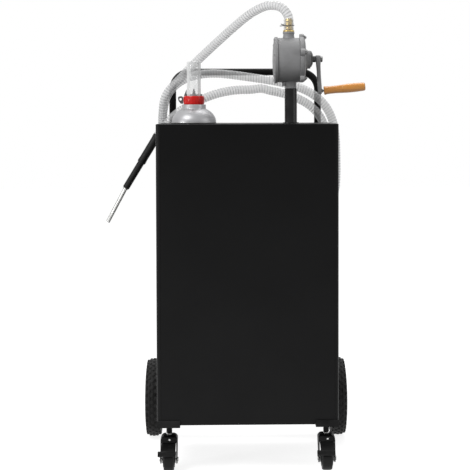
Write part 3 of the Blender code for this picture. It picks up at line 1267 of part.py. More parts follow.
def make_caster_fork(swivel, paints, name):
    """A hood of bent sheet: a rounded bridge over the wheel whose sides taper to the axle eyes."""
    half = CASTER_HOUSING_WIDTH / 2
    wall = CASTER_HOUSING_WALL
    top = CASTER_HOUSING_TOP
    low = CASTER_WHEEL_RADIUS - CASTER_EYE_RADIUS
    shoulder = CASTER_SHOULDER

    def arch(inset, bottom):
        reach, height = half - inset, top - inset
        bend = shoulder - inset
        right = circle(bend, 6, (reach - bend, height - bend), 0, 90)
        left = circle(bend, 6, (bend - reach, height - bend), 90, 180)
        return [(reach, bottom)] + right + left + [(-reach, bottom)]

    length = 2 * (CASTER_TRAIL + CASTER_CROWN_RADIUS)
    black = paints["black_paint"]
    hood = prism(f"caster_fork_{name}", arch(0, low), -length, length, black, swivel, axis="Y")
    inside = arch(wall, low - CUT_OVERRUN)
    cut(hood, prism_mesh(inside, -length - CUT_OVERRUN, length + CUT_OVERRUN, "Y"), swivel)
    # Seen from its side the hood is a crown round the kingpin that tapers to the axle's eye.
    axle = (-CASTER_TRAIL, CASTER_WHEEL_RADIUS)
    crown = CASTER_CROWN_RADIUS
    side = circle(CASTER_EYE_RADIUS, 8, axle, -175, -20)
    side += [
        (crown, top - shoulder * 2), (crown, top + CUT_OVERRUN), (-crown, top + CUT_OVERRUN),
        (-crown, top - shoulder),
    ]
    blank = helper(prism_mesh(side, -half - CUT_OVERRUN, half + CUT_OVERRUN, "X"), swivel)
    combine(hood, blank, "INTERSECT")
    cut(hood, prism_mesh(circle(KINGPIN_RADIUS + GAP, 20), top - 2 * wall, top + CUT_OVERRUN), swivel)
    eye = circle(CASTER_AXLE_RADIUS + GAP, 20, axle)
    cut(hood, prism_mesh(eye, -half - CUT_OVERRUN, half + CUT_OVERRUN, "X"), swivel)


def make_caster_brake(swivel, paints, name):
    """The brake pedal: a plate hung between the fork's sides that curves down in front of the wheel."""
    pivot = empty(f"brake_{name}_axis", swivel, (0, -BRAKE_PIVOT_BEHIND, BRAKE_PIVOT_Z))
    thick = BRAKE_PLATE
    wheel_y = BRAKE_PIVOT_BEHIND - CASTER_TRAIL
    wheel_z = CASTER_WHEEL_RADIUS - BRAKE_PIVOT_Z
    # The plate follows an arc round the wheel, a share of the wheel's radius above its tread.
    inner = CASTER_WHEEL_RADIUS * 1.24
    arc = circle(inner, 6, (wheel_y, wheel_z), 95, 155)
    outer = list(reversed(circle(inner + thick, 6, (wheel_y, wheel_z), 95, 155)))
    barrel = BRAKE_BARREL_RADIUS
    outline = [(barrel, -thick / 2)] + arc + outer + [(barrel, thick / 2)]
    half = BRAKE_ARM_WIDTH / 2
    plate = prism(f"caster_brake_{name}", outline, -half, half, paints["black_paint"], pivot, axis="X")
    seat = CASTER_HOUSING_WIDTH / 2 - CASTER_HOUSING_WALL - GAP
    join(plate, prism_mesh(circle(barrel, 14), -seat, seat, "X"), pivot)
    # The foot tab reaches past the fork on both sides, farther on the left.
    tab = circle(inner + thick / 8, 4, (wheel_y, wheel_z), 136, 156)
    tab += list(reversed(circle(inner + thick * 1.5, 4, (wheel_y, wheel_z), 136, 156)))
    reach = CASTER_HOUSING_WIDTH / 2
    join(plate, prism_mesh(tab, -reach - BRAKE_TAB, reach, "X"), pivot)


def main():
    clear_scene()
    paints = make_paints()
    at = pump_x()
    splay = CRANK_RADIUS * math.tan(math.radians(CRANK_SPLAY_DEG)) + CRANK_END_THICKNESS
    right = at["hub"] + splay + (SPINDLE_SHOW + GRIP_LENGTH) * math.cos(math.radians(GRIP_TILT_DEG))
    axle_end = (TRACK + HUB_LENGTH) / 2 + GAP + AXLE_CAP_DEPTH
    left = -max((TRACK + TYRE_WIDTH) / 2, axle_end)
    rear = AXLE_Y + WHEEL_RADIUS
    fore = CASTER_Y - CASTER_TRAIL - CASTER_WHEEL_RADIUS * 1.24 - BRAKE_PLATE
    root = empty("caddy", None, (-(left + right) / 2, -(rear + fore) / 2, 0))
    make_tank(root, paints)
    make_filler(root, paints)
    make_suction(root, paints)
    make_pump_housing(root, paints)
    make_pump_covers(root, paints)
    crank = empty("crank_axis", root, (at["hub"], 0, SHAFT_Z))
    make_rotor(crank, paints)
    make_crank(crank, paints)
    barb_top = make_outlet(root, paints)
    make_hose(root, paints, barb_top)
    make_nozzle(root, paints)
    make_handle(root, paints)
    make_hose_hooks(root, paints)
    make_axle(root, paints)
    for name, side in (("left", -1), ("right", 1)):
        make_rear_wheel(root, paints, name, side)
        make_caster(root, paints, name, side)


main()
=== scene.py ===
"""Fuel caddy: the looks of its pieces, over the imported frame.

Places are written as in the maker's drawing, with X = 0 and Y = 0 at the tank's middle and Z = 0 on
the floor, in metres, or in millimetres where a list is given to drawn or divided by 1000. STANDING
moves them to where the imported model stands.
"""

import math
from collections import namedtuple

import bmesh
import bpy
import numpy as np
from mathutils import Matrix, Vector


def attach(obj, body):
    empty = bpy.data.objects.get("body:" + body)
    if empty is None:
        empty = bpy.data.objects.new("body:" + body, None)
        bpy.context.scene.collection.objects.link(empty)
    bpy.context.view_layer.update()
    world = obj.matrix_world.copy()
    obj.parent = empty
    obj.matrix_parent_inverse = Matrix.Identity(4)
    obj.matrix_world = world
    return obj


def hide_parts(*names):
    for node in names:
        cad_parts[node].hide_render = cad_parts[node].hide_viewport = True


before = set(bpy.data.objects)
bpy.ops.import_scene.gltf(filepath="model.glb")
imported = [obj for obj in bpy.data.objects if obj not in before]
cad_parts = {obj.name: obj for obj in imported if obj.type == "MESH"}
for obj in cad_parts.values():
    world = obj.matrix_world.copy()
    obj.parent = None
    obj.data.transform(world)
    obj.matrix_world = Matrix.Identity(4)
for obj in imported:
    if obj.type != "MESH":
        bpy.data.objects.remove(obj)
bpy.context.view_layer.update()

STANDING = np.array((-0.017265, -0.08413, 0.0))
TANK_TOP = 0.984
FILLER_X = -0.154
PIPE_X = 0.1305
OUTLET_X = 0.1245
PUMP_Z = 1.169
SHAFT_Z = 1.1722
AXLE_Y = 0.239
WHEEL_Z = 0.1203
TURN = 2 * math.pi
GRIP_TILT = math.radians(5.5)
GRIP_RADIUS, GRIP_LENGTH = 0.0136, 0.122
REAR_WHEEL_X = 0.2875
TREAD_BLOCKS = 34
BRACE_Z = 0.86
CASTER_X = 0.2243
SWIVEL_Y = -0.12
CASTER_AXLE = (-0.147, 0.0335)
HOOD_HALF, HOOD_TOP, HOOD_SHEET = 0.0245, 0.099, 0.003
BARB_FOOT = 1.2523
X_AXIS, Y_AXIS = np.array((1.0, 0, 0)), np.array((0, 1.0, 0))


# Shapes. A shell is its points, and its faces as lists of point numbers.

def unit(vectors):
    """Each vector divided by its own length."""
    return vectors / np.linalg.norm(vectors, axis=-1, keepdims=True)


def woven(grid, around=True, along=False, ends="fan"):
    """Quads between neighbouring points of a (rows, columns, 3) grid.

    A grid that is closed around joins its last column to its first, and one closed along joins its
    last row to its first. The end rows of an open one are filled by a fan to their mean, or by one face.
    """
    rows, columns = grid.shape[:2]
    number = np.arange(rows * columns).reshape(rows, columns)
    below = number if along else number[:-1]
    above = np.roll(number, -1, 0) if along else number[1:]
    if around:
        after, after_above = np.roll(below, -1, 1), np.roll(above, -1, 1)
    else:
        below, after, above, after_above = below[:, :-1], below[:, 1:], above[:, :-1], above[:, 1:]
    faces = np.stack([below, after, after_above, above], -1).reshape(-1, 4).tolist()
    points = grid.reshape(-1, 3)
    if along or not around:
        return points, faces
    if ends == "face":
        return points, faces + [number[0][::-1].tolist(), number[-1].tolist()]
    count = len(points)
    points = np.vstack([points, grid[0].mean(0), grid[-1].mean(0)])
    for ring, middle in ((number[0][::-1], count), (number[-1], count + 1)):
        fan = np.stack([ring, np.roll(ring, -1), np.full(columns, middle)], -1)
        faces += fan.tolist()
    return points, faces


def eased(outline, radius, steps=3, closed=False):
    """An outline whose corners are cut back by a radius and bridged by a parabola."""
    outline = np.asarray(outline, float)
    before, after = np.roll(outline, 1, 0), np.roll(outline, -1, 0)
    to_before, to_after = before - outline, after - outline
    far_before = np.linalg.norm(to_before, axis=1, keepdims=True) + 1e-12
    far_after = np.linalg.norm(to_after, axis=1, keepdims=True) + 1e-12
    start = outline + to_before / far_before * np.minimum(radius, far_before * 0.45)
    end = outline + to_after / far_after * np.minimum(radius, far_after * 0.45)
    t = np.linspace(0, 1, steps)[None, :, None]
    soft = (1 - t) ** 2 * start[:, None] + 2 * t * (1 - t) * outline[:, None] + t**2 * end[:, None]
    if closed:
        return soft.reshape(-1, 2)
    return np.vstack([outline[:1], soft[1:-1].reshape(-1, 2), outline[-1:]])


def drawn(places, radius, steps=3, closed=False):
    """An eased outline whose places and radius are given in millimetres, as a drawing has them."""
    return eased(np.array(places) / 1000, radius / 1000, steps, closed)


def turned(outline, centre, axis=(0, 0, 1), steps=64, ring=False, ripple=None):
    """A profile of (radius, height) carried round an axis: centre + axis*height + round*radius.

    A ring's profile is closed. An end on the axis becomes a fan round its pole. The ripple is a
    function of (height, angle) that scales the radius.
    """
    outline = np.asarray(outline, float)
    axis = unit(np.asarray(axis, float))
    first = unit(np.cross(axis, Y_AXIS if abs(axis[1]) < 0.9 else X_AXIS))
    second = np.cross(axis, first)
    angle = np.arange(steps) * TURN / steps
    round_ = np.cos(angle)[:, None] * first + np.sin(angle)[:, None] * second
    radius = outline[:, :1] * np.ones(steps)
    if ripple is not None:
        radius = radius * ripple(outline[:, 1:], angle[None, :])
    grid = np.asarray(centre, float) + radius[..., None] * round_[None] + outline[:, None, 1:] * axis
    return woven(grid, along=ring)


def framed(route, upright):
    """Two unit vectors across a route at each point, the first of them square to the upright."""
    way = unit(np.gradient(route, axis=0))
    side = unit(np.cross(upright, way))
    return side, np.cross(way, side)


def carried(route, section, upright, sizes=None):
    """A closed section of (side, up) places carried along a route: route + side*a + up*b."""
    route = np.asarray(route, float)
    side, up = framed(route, np.asarray(upright, float))
    scale = np.ones(len(route)) if sizes is None else np.asarray(sizes, float)
    a = (scale[:, None] * section[:, 0])[..., None]
    b = (scale[:, None] * section[:, 1])[..., None]
    return woven(route[:, None] + a * side[:, None] + b * up[:, None])


def circle(radius, steps, centre=(0, 0), start=0.0, end=360.0):
    """Places on an arc; a whole circle leaves out its last one."""
    whole = end - start == 360.0
    angle = np.radians(np.linspace(start, end, steps, endpoint=not whole))
    return np.stack([centre[0] + radius * np.cos(angle), centre[1] + radius * np.sin(angle)], -1)


def slab(outline, low, high, edge):
    """An outline of (Y, Z) carried along X from low to high, with its two rims drawn in by the edge."""
    ahead = np.roll(outline, -1, 0) - np.roll(outline, 1, 0)
    y, z = outline[:, 0], outline[:, 1]
    turn = np.sign(np.sum(y * np.roll(z, -1) - z * np.roll(y, -1)))
    inner = outline - edge * turn * unit(np.stack([ahead[:, 1], -ahead[:, 0]], -1))
    rows = [(inner, low), (outline, low + edge), (outline, high - edge), (inner, high)]
    return woven(np.stack([np.column_stack([np.full(len(ring), x), ring]) for ring, x in rows]), ends="face")


def moved(shell, matrix=None, by=(0, 0, 0)):
    """A shell turned by a matrix and then moved."""
    points, faces = shell
    if matrix is not None:
        points = points @ np.array(matrix.to_3x3()).T
    return points + np.asarray(by, float), faces


def copies(shell, count, centre, axis, start=0.0):
    """A shell repeated round an axis through a centre."""
    made = []
    for i in range(count):
        turn = Matrix.Rotation(start + TURN * i / count, 4, Vector(axis))
        made.append(moved(moved(shell, by=-np.asarray(centre, float)), turn, centre))
    return made


def bolt(place, axis, radius, height, washer=True):
    """A hexagon head with its chamfered top, on a washer."""
    head = [(0, 0), (radius, 0), (radius, height * 0.8), (radius * 0.86, height), (0, height)]
    made = [turned(head, place, axis, 6)]
    if washer:
        disc = eased([(0, 0), (radius * 1.3, 0), (radius * 1.3, height * 0.25), (0, height * 0.25)], 0.0002)
        made.append(turned(disc, place, axis, 24))
    return made


def walked_along(line):
    """How far each point lies along its line."""
    return np.concatenate([[0], np.cumsum(np.linalg.norm(np.diff(line, axis=0), axis=1))])


def bead(route, radius, upright):
    """A weld bead: a small round section that swells and narrows again every one and a half radii."""
    swell = 1 + 0.16 * np.cos(TURN * walked_along(route) / (radius * 1.5))
    return carried(route, circle(radius, 8), upright, swell)


def piece(name, shells, finish, slot, *nodes, body="chassis", sharp=38, attributes=None):
    """Joins shells into one object in its place, with its finish and body, and hides the nodes that it
    replaces. The slot is not used.
    """
    counts = np.cumsum([0] + [len(points) for points, _ in shells])
    points = np.vstack([points for points, _ in shells]) + STANDING
    faces = [[int(i + start) for i in face] for (_, group), start in zip(shells, counts) for face in group]
    mesh = bpy.data.meshes.new(name)
    mesh.from_pydata(points.tolist(), [], faces)
    for label, values in (attributes or {}).items():
        mesh.attributes.new(label, "FLOAT", "POINT").data.foreach_set("value", values)
    bm = bmesh.new()
    bm.from_mesh(mesh)
    bmesh.ops.remove_doubles(bm, verts=bm.verts, dist=1e-6)
    bmesh.ops.recalc_face_normals(bm, faces=bm.faces)
    bm.to_mesh(mesh)
    bm.free()
    mesh.shade_smooth()
    mesh.set_sharp_from_angle(angle=math.radians(sharp))
    mesh.materials.append(FINISHES[finish])
    obj = shown(name, mesh)
    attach(obj, body)
    if nodes:
        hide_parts(*nodes)
    return obj


def lathed(name, places, radius, centre, finish, slot, *nodes, body="chassis", ease=3, ring=False, sharp=38,
           **turning):
    """A piece that is one drawn profile turned round an axis."""
    shell = turned(drawn(places, radius, ease, closed=ring), centre, ring=ring, **turning)
    return piece(name, [shell], finish, slot, *nodes, body=body, sharp=sharp)


# Nodes

def give(tree, node, values):
    """Sets a node's inputs, each to a value, a colour (one number is a grey) or another node's output."""
    for label, value in values.items():
        socket = node.inputs[label]
        if isinstance(value, bpy.types.NodeSocket):
            tree.links.new(value, socket)
        elif socket.type == "RGBA":
            socket.default_value = (*((value,) * 3 if isinstance(value, float) else value), 1.0)
        else:
            socket.default_value = value
    return node


def add_node(tree, kind, values=None, **settings):
    """A node with its settings, and with its inputs by name or number."""
    node = tree.nodes.new(kind)
    for label, value in settings.items():
        setattr(node, label, value)
    return give(tree, node, values or {})


def mix(tree, share, first, second):
    """A colour between two, each given as a colour or as another node's output."""
    return add_node(tree, "ShaderNodeMix", {0: share, 6: first, 7: second}, data_type="RGBA").outputs[2]


def between(tree, value, low, high, start=0.0, end=1.0):
    """A value brought from the range start to end into the range low to high."""
    values = {"Value": value, "From Min": start, "From Max": end, "To Min": low, "To Max": high}
    return add_node(tree, "ShaderNodeMapRange", values).outputs["Result"]


def calculate(tree, operation, first, second, **settings):
    """The result of a calculation with two values, each a number or another node's output."""
    return add_node(tree, "ShaderNodeMath", {0: first, 1: second}, operation=operation, **settings).outputs[0]


def noise(tree, values, **settings):
    """A noise texture with its inputs, as a value."""
    return add_node(tree, "ShaderNodeTexNoise", values, **settings).outputs["Fac"]


def new_tree(owner):
    """The node tree of a new material or world, and the node that it starts with."""
    owner.use_nodes = True
    start = "Background" if isinstance(owner, bpy.types.World) else "Principled BSDF"
    return owner.node_tree, owner.node_tree.nodes[start]


# Camera, light and floor

CAMERA_PLACE = (-0.0549, -3.5508, 1.0248)
CAMERA_YAW, CAMERA_PITCH, CAMERA_ROLL = -0.02233, 0.02896, -0.0022
SURROUND_LIGHT = 0.42
FLOOR_GLOW = 0.84


def shown(name, data):
    """A new object of the scene with this data."""
    obj = bpy.data.objects.new(name, data)
    bpy.context.scene.collection.objects.link(obj)
    return obj


def add_camera():
    """A long lens a little above the tank's top, looking slightly down, with the frame shifted."""
    yaw, pitch, roll = CAMERA_YAW, CAMERA_PITCH, CAMERA_ROLL
    right = Vector((math.cos(yaw), math.sin(yaw), 0))
    ahead = Vector((-math.sin(yaw), math.cos(yaw), 0))
    up = Vector((0, 0, 1))
    looking = ahead * math.cos(pitch) - up * math.sin(pitch)
    rising = ahead * math.sin(pitch) + up * math.cos(pitch)
    across = right * math.cos(roll) + rising * math.sin(roll)
    standing = rising * math.cos(roll) - right * math.sin(roll)
    facing = Matrix((across, standing, -looking)).transposed().to_4x4()
    data = bpy.data.cameras.new("camera")
    data.sensor_width = 36.0
    data.lens = 92.53
    data.shift_x, data.shift_y = -0.0421, -0.1928
    data.clip_end = 60.0
    camera = shown("camera", data)
    camera.matrix_world = Matrix.Translation(Vector(STANDING + CAMERA_PLACE)) @ facing
    bpy.context.scene.camera = camera


def add_lamp(name, place, size, watts, target=(0, 0, 0.7)):
    """A rectangular lamp that faces its target."""
    data = bpy.data.lights.new(name, "AREA")
    data.shape = "RECTANGLE"
    data.size, data.size_y = size
    data.energy = watts
    lamp = shown(name, data)
    lamp.location = place
    lamp.rotation_euler = (Vector(target) - lamp.location).to_track_quat("-Z", "Y").to_euler()


def seen_directly(tree):
    """1 for camera, glossy and transmission rays, else 0."""
    rays = tree.nodes.new("ShaderNodeLightPath").outputs
    total = calculate(tree, "ADD", rays["Is Camera Ray"], rays["Is Glossy Ray"], use_clamp=True)
    return calculate(tree, "ADD", total, rays["Is Transmission Ray"], use_clamp=True)


def add_surroundings():
    """A white surround that lights at a lower level than it shows, a pale floor and four lamps."""
    world = bpy.data.worlds.new("surround")
    bpy.context.scene.world = world
    tree, back = new_tree(world)
    give(tree, back, {"Color": 1.0, "Strength": between(tree, seen_directly(tree), SURROUND_LIGHT, 1.0)})

    place = np.linspace(-12, 12, 13)
    grid = np.stack(np.meshgrid(place, place, [0.0], indexing="ij"), -1)[:, :, 0]
    points, faces = woven(grid, around=False)
    mesh = bpy.data.meshes.new("floor")
    mesh.from_pydata(points.tolist(), [], faces)
    shown("floor", mesh)
    paint = bpy.data.materials.new("floor_paint")
    tree, shader = new_tree(paint)
    give(tree, shader, {
        "Base Color": 0.4, "Roughness": 0.9, "Specular IOR Level": 0.1, "Emission Color": 1.0,
        "Emission Strength": between(tree, seen_directly(tree), 0.0, FLOOR_GLOW),
    })
    mesh.materials.append(paint)

    add_lamp("key_left", (-1.7, -1.7, 3.0), (1.4, 1.2), 50)
    add_lamp("top_rear", (0.3, 0.9, 3.4), (2.2, 1.2), 40)
    add_lamp("fill_right", (2.8, -1.4, 1.8), (1.0, 1.6), 12)
    add_lamp("strip_left", (-2.5, -1.5, 1.07), (0.5, 0.3), 16, (0, 0, 1.05))


# Finishes

Finish = namedtuple("Finish", "material tree shader clouds colour bump")


def shared_marks():
    """The node group of marks that every finish uses.

    Clouds are slow changes over the surface, Grain is its fine texture, and Rub is where an outer
    edge would be rubbed bright, broken up by the clouds.
    """
    group = bpy.data.node_groups.new("handling_marks", "ShaderNodeTree")
    for label, value in (("Cloud Scale", 9.0), ("Grain Scale", 900.0), ("Rub Start", 0.53)):
        socket = group.interface.new_socket(label, in_out="INPUT", socket_type="NodeSocketFloat")
        socket.default_value = value
    for label in ("Clouds", "Grain", "Rub"):
        group.interface.new_socket(label, in_out="OUTPUT", socket_type="NodeSocketFloat")
    given = group.nodes.new("NodeGroupInput").outputs
    place = group.nodes.new("ShaderNodeTexCoord").outputs["Object"]
    slow = noise(group, {"Vector": place, "Scale": given["Cloud Scale"], "Detail": 5.0, "Roughness": 0.6})
    fine = noise(group, {"Vector": place, "Scale": given["Grain Scale"], "Detail": 3.0})
    clouds = between(group, slow, 0.0, 1.0, 0.32, 0.68)
    pointed = group.nodes.new("ShaderNodeNewGeometry").outputs["Pointiness"]
    rubbed_whole = calculate(group, "ADD", given["Rub Start"], 0.06)
    edge = between(group, pointed, 0.0, 1.0, given["Rub Start"], rubbed_whole)
    rub = calculate(group, "MULTIPLY", edge, clouds)
    add_node(group, "NodeGroupOutput", {"Clouds": clouds, "Grain": fine, "Rub": rub})
    return group


MARKS = shared_marks()


def worked(name, colour, drift, worn, rough, clouds=9.0, grain=900.0, relief=0.00004, rub=0.53,
           metallic=0.0, specular=0.5, **plain):
    """A finish: its colour drifts in clouds and is worn at edges, its gloss varies, its grain stands up."""
    made = bpy.data.materials.new(name)
    tree, shader = new_tree(made)
    scales = {"Cloud Scale": clouds, "Grain Scale": grain, "Rub Start": rub}
    marks = add_node(tree, "ShaderNodeGroup", scales, node_tree=MARKS).outputs
    body = mix(tree, marks["Rub"], mix(tree, marks["Clouds"], colour, drift), worn)
    bump = add_node(tree, "ShaderNodeBump", {"Distance": relief, "Strength": 1.0, "Height": marks["Grain"]})
    give(tree, shader, {
        "Base Color": body, "Roughness": between(tree, marks["Clouds"], *rough), "Metallic": metallic,
        "Normal": bump.outputs["Normal"], "Specular IOR Level": specular,
    })
    give(tree, shader, {label.replace("_", " "): value for label, value in plain.items()})
    return Finish(made, tree, shader, marks["Clouds"], body, bump)


def placed(tree, centre=(0, 0, 0)):
    """Object coordinates with a place of the drawing as their origin."""
    origin = Vector(-(np.asarray(centre, float) + STANDING))
    place = tree.nodes.new("ShaderNodeTexCoord").outputs["Object"]
    mapping = add_node(tree, "ShaderNodeMapping", {"Vector": place, "Location": origin}, vector_type="POINT")
    return mapping.outputs["Vector"]


def axes_of(tree, vector):
    """A vector split into X, Y and Z."""
    return add_node(tree, "ShaderNodeSeparateXYZ", {0: vector}).outputs


def tank_paint():
    """Satin black powder coat, with painted light: its colour lightens towards the tank's foot."""
    finish = worked("tank_paint", (0.0022, 0.0022, 0.0023), (0.0032, 0.0032, 0.0033), 0.018, (0.34, 0.44),
                    clouds=5.0, grain=1400.0, relief=0.00003, rub=0.55, specular=0.085)
    tree = finish.tree
    # Painted light: the colour lightens from the tank's top down to its foot, broken up by the clouds.
    low = between(tree, axes_of(tree, placed(tree))["Z"], 1.0, 0.0, 0.13, 0.99)
    painted_foot_light = calculate(tree, "MULTIPLY", low, between(tree, finish.clouds, 0.75, 1.0))
    # The lighter colour that the painted light reaches at the tank's foot.
    give(tree, finish.shader, {"Base Color": mix(tree, painted_foot_light, finish.colour, (0.0135, 0.0135, 0.0138))})
    return finish


def spun_aluminium():
    """Bright metal with the fine rings of the spinning lathe round the filler's axis."""
    finish = worked("spun_aluminium", (0.4, 0.4, 0.41), (0.34, 0.34, 0.35), 0.6, (0.36, 0.46), clouds=14.0,
                    metallic=0.6, specular=0.4)
    tree = finish.tree
    axes = axes_of(tree, placed(tree, (FILLER_X, 0, TANK_TOP)))
    out = calculate(tree, "ADD", calculate(tree, "MULTIPLY", axes["X"], axes["X"]),
                    calculate(tree, "MULTIPLY", axes["Y"], axes["Y"]))
    reach = calculate(tree, "SUBTRACT", calculate(tree, "POWER", out, 0.5), axes["Z"])
    rings = noise(tree, {"W": reach, "Scale": 900.0, "Detail": 4.0}, noise_dimensions="1D")
    give(tree, finish.bump, {"Height": rings})
    give(tree, finish.shader, {"Roughness": between(tree, rings, 0.34, 0.5, 0.3, 0.7)})
    return finish


def turned_wood():
    """Varnished wood whose grain runs along the grip."""
    finish = worked("turned_wood", (0.68, 0.285, 0.038), (0.6, 0.235, 0.028), (0.72, 0.36, 0.08),
                    (0.24, 0.38), clouds=20.0, relief=0.00005, Coat_Weight=0.25, Coat_Roughness=0.15)
    tree = finish.tree
    grain = add_node(tree, "ShaderNodeMapping", {
        "Vector": placed(tree, (0.2221, 0, 1.0792)), "Rotation": (0, GRIP_TILT, 0),
        "Scale": (12.0, 210.0, 210.0),
    })
    fibre = noise(tree, {"Vector": grain.outputs["Vector"], "Scale": 1.0, "Detail": 6.0, "Distortion": 0.6})
    streak = between(tree, fibre, 0.0, 0.75, 0.45, 0.72)
    give(tree, finish.bump, {"Height": fibre})
    give(tree, finish.shader, {"Base Color": mix(tree, streak, finish.colour, (0.42, 0.155, 0.02))})
    return finish


def clear_hose():
    """Clear wall over a wire: milky and grey where the wire runs, and darker where it turns away."""
    finish = worked("clear_hose", (0.7, 0.705, 0.71), (0.64, 0.645, 0.65), 0.8, (0.14, 0.28), clouds=16.0,
                    grain=500.0, relief=0.00002, specular=0.4)
    tree = finish.tree
    swell = add_node(tree, "ShaderNodeAttribute", attribute_name="swell").outputs["Fac"]
    rib = between(tree, swell, 0.0, 1.0, -0.2, 0.9)
    ribbed = mix(tree, rib, finish.colour, (0.34, 0.343, 0.346))
    rim = between(tree, tree.nodes.new("ShaderNodeLayerWeight").outputs["Facing"], 0.0, 1.0, 0.62, 0.97)
    cover = calculate(tree, "MAXIMUM", between(tree, rib, 0.46, 0.7), calculate(tree, "MULTIPLY", rim, 0.85))
    behind = tree.nodes.new("ShaderNodeNewGeometry").outputs["Backfacing"]
    give(tree, finish.shader, {
        "Base Color": mix(tree, rim, ribbed, (0.18, 0.182, 0.184)),
        "Alpha": calculate(tree, "MULTIPLY", cover, between(tree, behind, 1.0, 0.3)),
    })
    return finish


def clear_tube():
    """Clear plastic tube: almost nothing where it faces the eye, white and grey where it turns away."""
    finish = worked("clear_tube", (0.86, 0.87, 0.87), (0.82, 0.83, 0.83), 0.9, (0.06, 0.12), clouds=12.0,
                    relief=0.000002)
    tree = finish.tree
    facing = tree.nodes.new("ShaderNodeLayerWeight").outputs["Facing"]
    rim = between(tree, facing, 0.0, 1.0, 0.8, 1.0)
    give(tree, finish.shader, {
        "Base Color": mix(tree, rim, finish.colour, (0.42, 0.425, 0.43)),
        "Alpha": between(tree, facing, 0.16, 0.72, 0.15, 0.65),
    })
    return finish


def make_finishes():
    """Every finish's material, by a short name."""
    cast = {"clouds": 26.0, "grain": 650.0, "relief": 0.00014, "rub": 0.52}
    made = {
        "tank": tank_paint(),
        "black": worked("black_powder_coat", (0.0028, 0.0028, 0.0029), 0.0045, 0.03, (0.36, 0.5),
                        grain=1200.0, relief=0.00003, specular=0.09),
        "pipe": worked("gloss_black_pipe", 0.002, 0.003, 0.05, (0.16, 0.22), clouds=18.0, relief=0.000002,
                       specular=0.2),
        "spun": spun_aluminium(),
        "red": worked("red_moulding", (0.62, 0.007, 0.004), (0.54, 0.005, 0.004), (0.68, 0.02, 0.012),
                      (0.22, 0.34), clouds=25.0, relief=0.00002, specular=0.2, Coat_Weight=0.1,
                      Coat_Roughness=0.1),
        "dark": worked("dark_moulding", (0.028, 0.028, 0.03), (0.04, 0.04, 0.042), 0.12, (0.3, 0.45),
                       clouds=30.0),
        "clear": clear_tube(),
        "hose": clear_hose(),
        "wire": worked("hose_wire", (0.58, 0.59, 0.6), (0.48, 0.49, 0.5), 0.7, (0.3, 0.45), metallic=0.6),
        "cast": worked("grey_casting", (0.262, 0.262, 0.266), (0.215, 0.215, 0.218), 0.42, (0.42, 0.58),
                       specular=0.35, **cast),
        "cast_dark": worked("dark_casting", (0.085, 0.085, 0.087), 0.06, 0.24, (0.36, 0.52), specular=0.3,
                            **cast),
        "zinc": worked("bright_zinc", (0.55, 0.55, 0.54), (0.44, 0.44, 0.43), 0.8, (0.22, 0.36), clouds=40.0,
                       metallic=1.0),
        "steel": worked("oiled_steel", 0.055, 0.035, 0.3, (0.25, 0.4), clouds=40.0, metallic=0.8),
        "brass": worked("brass", (0.5, 0.38, 0.14), (0.38, 0.27, 0.09), (0.75, 0.6, 0.3), (0.22, 0.36),
                        clouds=40.0, metallic=1.0),
        "wood": turned_wood(),
        "tyre": worked("tyre_rubber", 0.0055, (0.01, 0.0098, 0.0096), (0.026, 0.0255, 0.025), (0.5, 0.72),
                       clouds=30.0, grain=700.0, relief=0.00012, rub=0.52, specular=0.2),
        "rubber": worked("moulded_rubber", (0.005, 0.005, 0.0052), 0.008, 0.03, (0.4, 0.56), clouds=35.0,
                         grain=800.0, relief=0.00006, specular=0.2),
        "foam": worked("float_foam", (0.03, 0.03, 0.032), 0.05, 0.1, (0.6, 0.8), clouds=50.0, grain=500.0,
                       relief=0.0002),
    }
    return {label: finish.material for label, finish in made.items()}


FINISHES = make_finishes()


# The hose

HOSE_RADIUS = 0.0135
WIRE_PITCH = 0.0083
GRIP_SHARE = 0.52
GRIP_RIB_PITCH, BARREL_RIB_PITCH = 0.0042, 0.0052
HELD_RADIUS = 0.0099
SPIRAL_RADIUS, WIRE_RADIUS = 0.0122, 0.0005
BARB_TOP = 1.2903
COIL_LOOPS = 1.7
LEAD = np.array([
    (117, 2, 1309.5), (108.3, 6, 1320.4), (95.3, 11, 1327.9), (79.4, 18, 1331.1), (63.4, 26, 1330.6),
    (48.9, 34, 1326.9), (31.3, 44, 1319.1), (13.7, 54, 1309.3), (-12.4, 70, 1290.6), (-40.5, 86, 1267.8),
    (-67, 101, 1244.8), (-93.8, 115, 1221.5), (-120.1, 128, 1197.9), (-146.3, 141, 1174.2),
    (-171.5, 153, 1149.7), (-195.8, 164, 1124.4), (-216.5, 172, 1103.7), (-234, 177, 1085),
    (-244.7, 180, 1068.5), (-251.1, 184, 1051), (-254.3, 188.8, 1031.3), (-256.4, 197.8, 1009.7),
    (-257.8, 206.2, 987.9), (-258.5, 209.5, 960), (-258.5, 205.5, 933),
]) / 1000
TAIL = np.array([
    (12, 195, 1085.8), (-21.7, 192.5, 1084.9), (-55.2, 189, 1080.7), (-88.9, 185, 1073.2),
    (-122.3, 182, 1061.4), (-157.3, 180, 1046.5), (-191, 180, 1026.5), (-208.9, 180, 1015),
    (-224.3, 179.5, 1001.9), (-239.8, 179.5, 985.3), (-253.4, 179.5, 968.7),
]) / 1000
NOZZLE_START = np.array((-0.2711, 0.1805, 0.9461))
NOZZLE_KNEE = np.array((-0.3702, 0.1805, 0.7829))
NOZZLE_END = np.array((-0.4259, 0.1805, 0.6785))


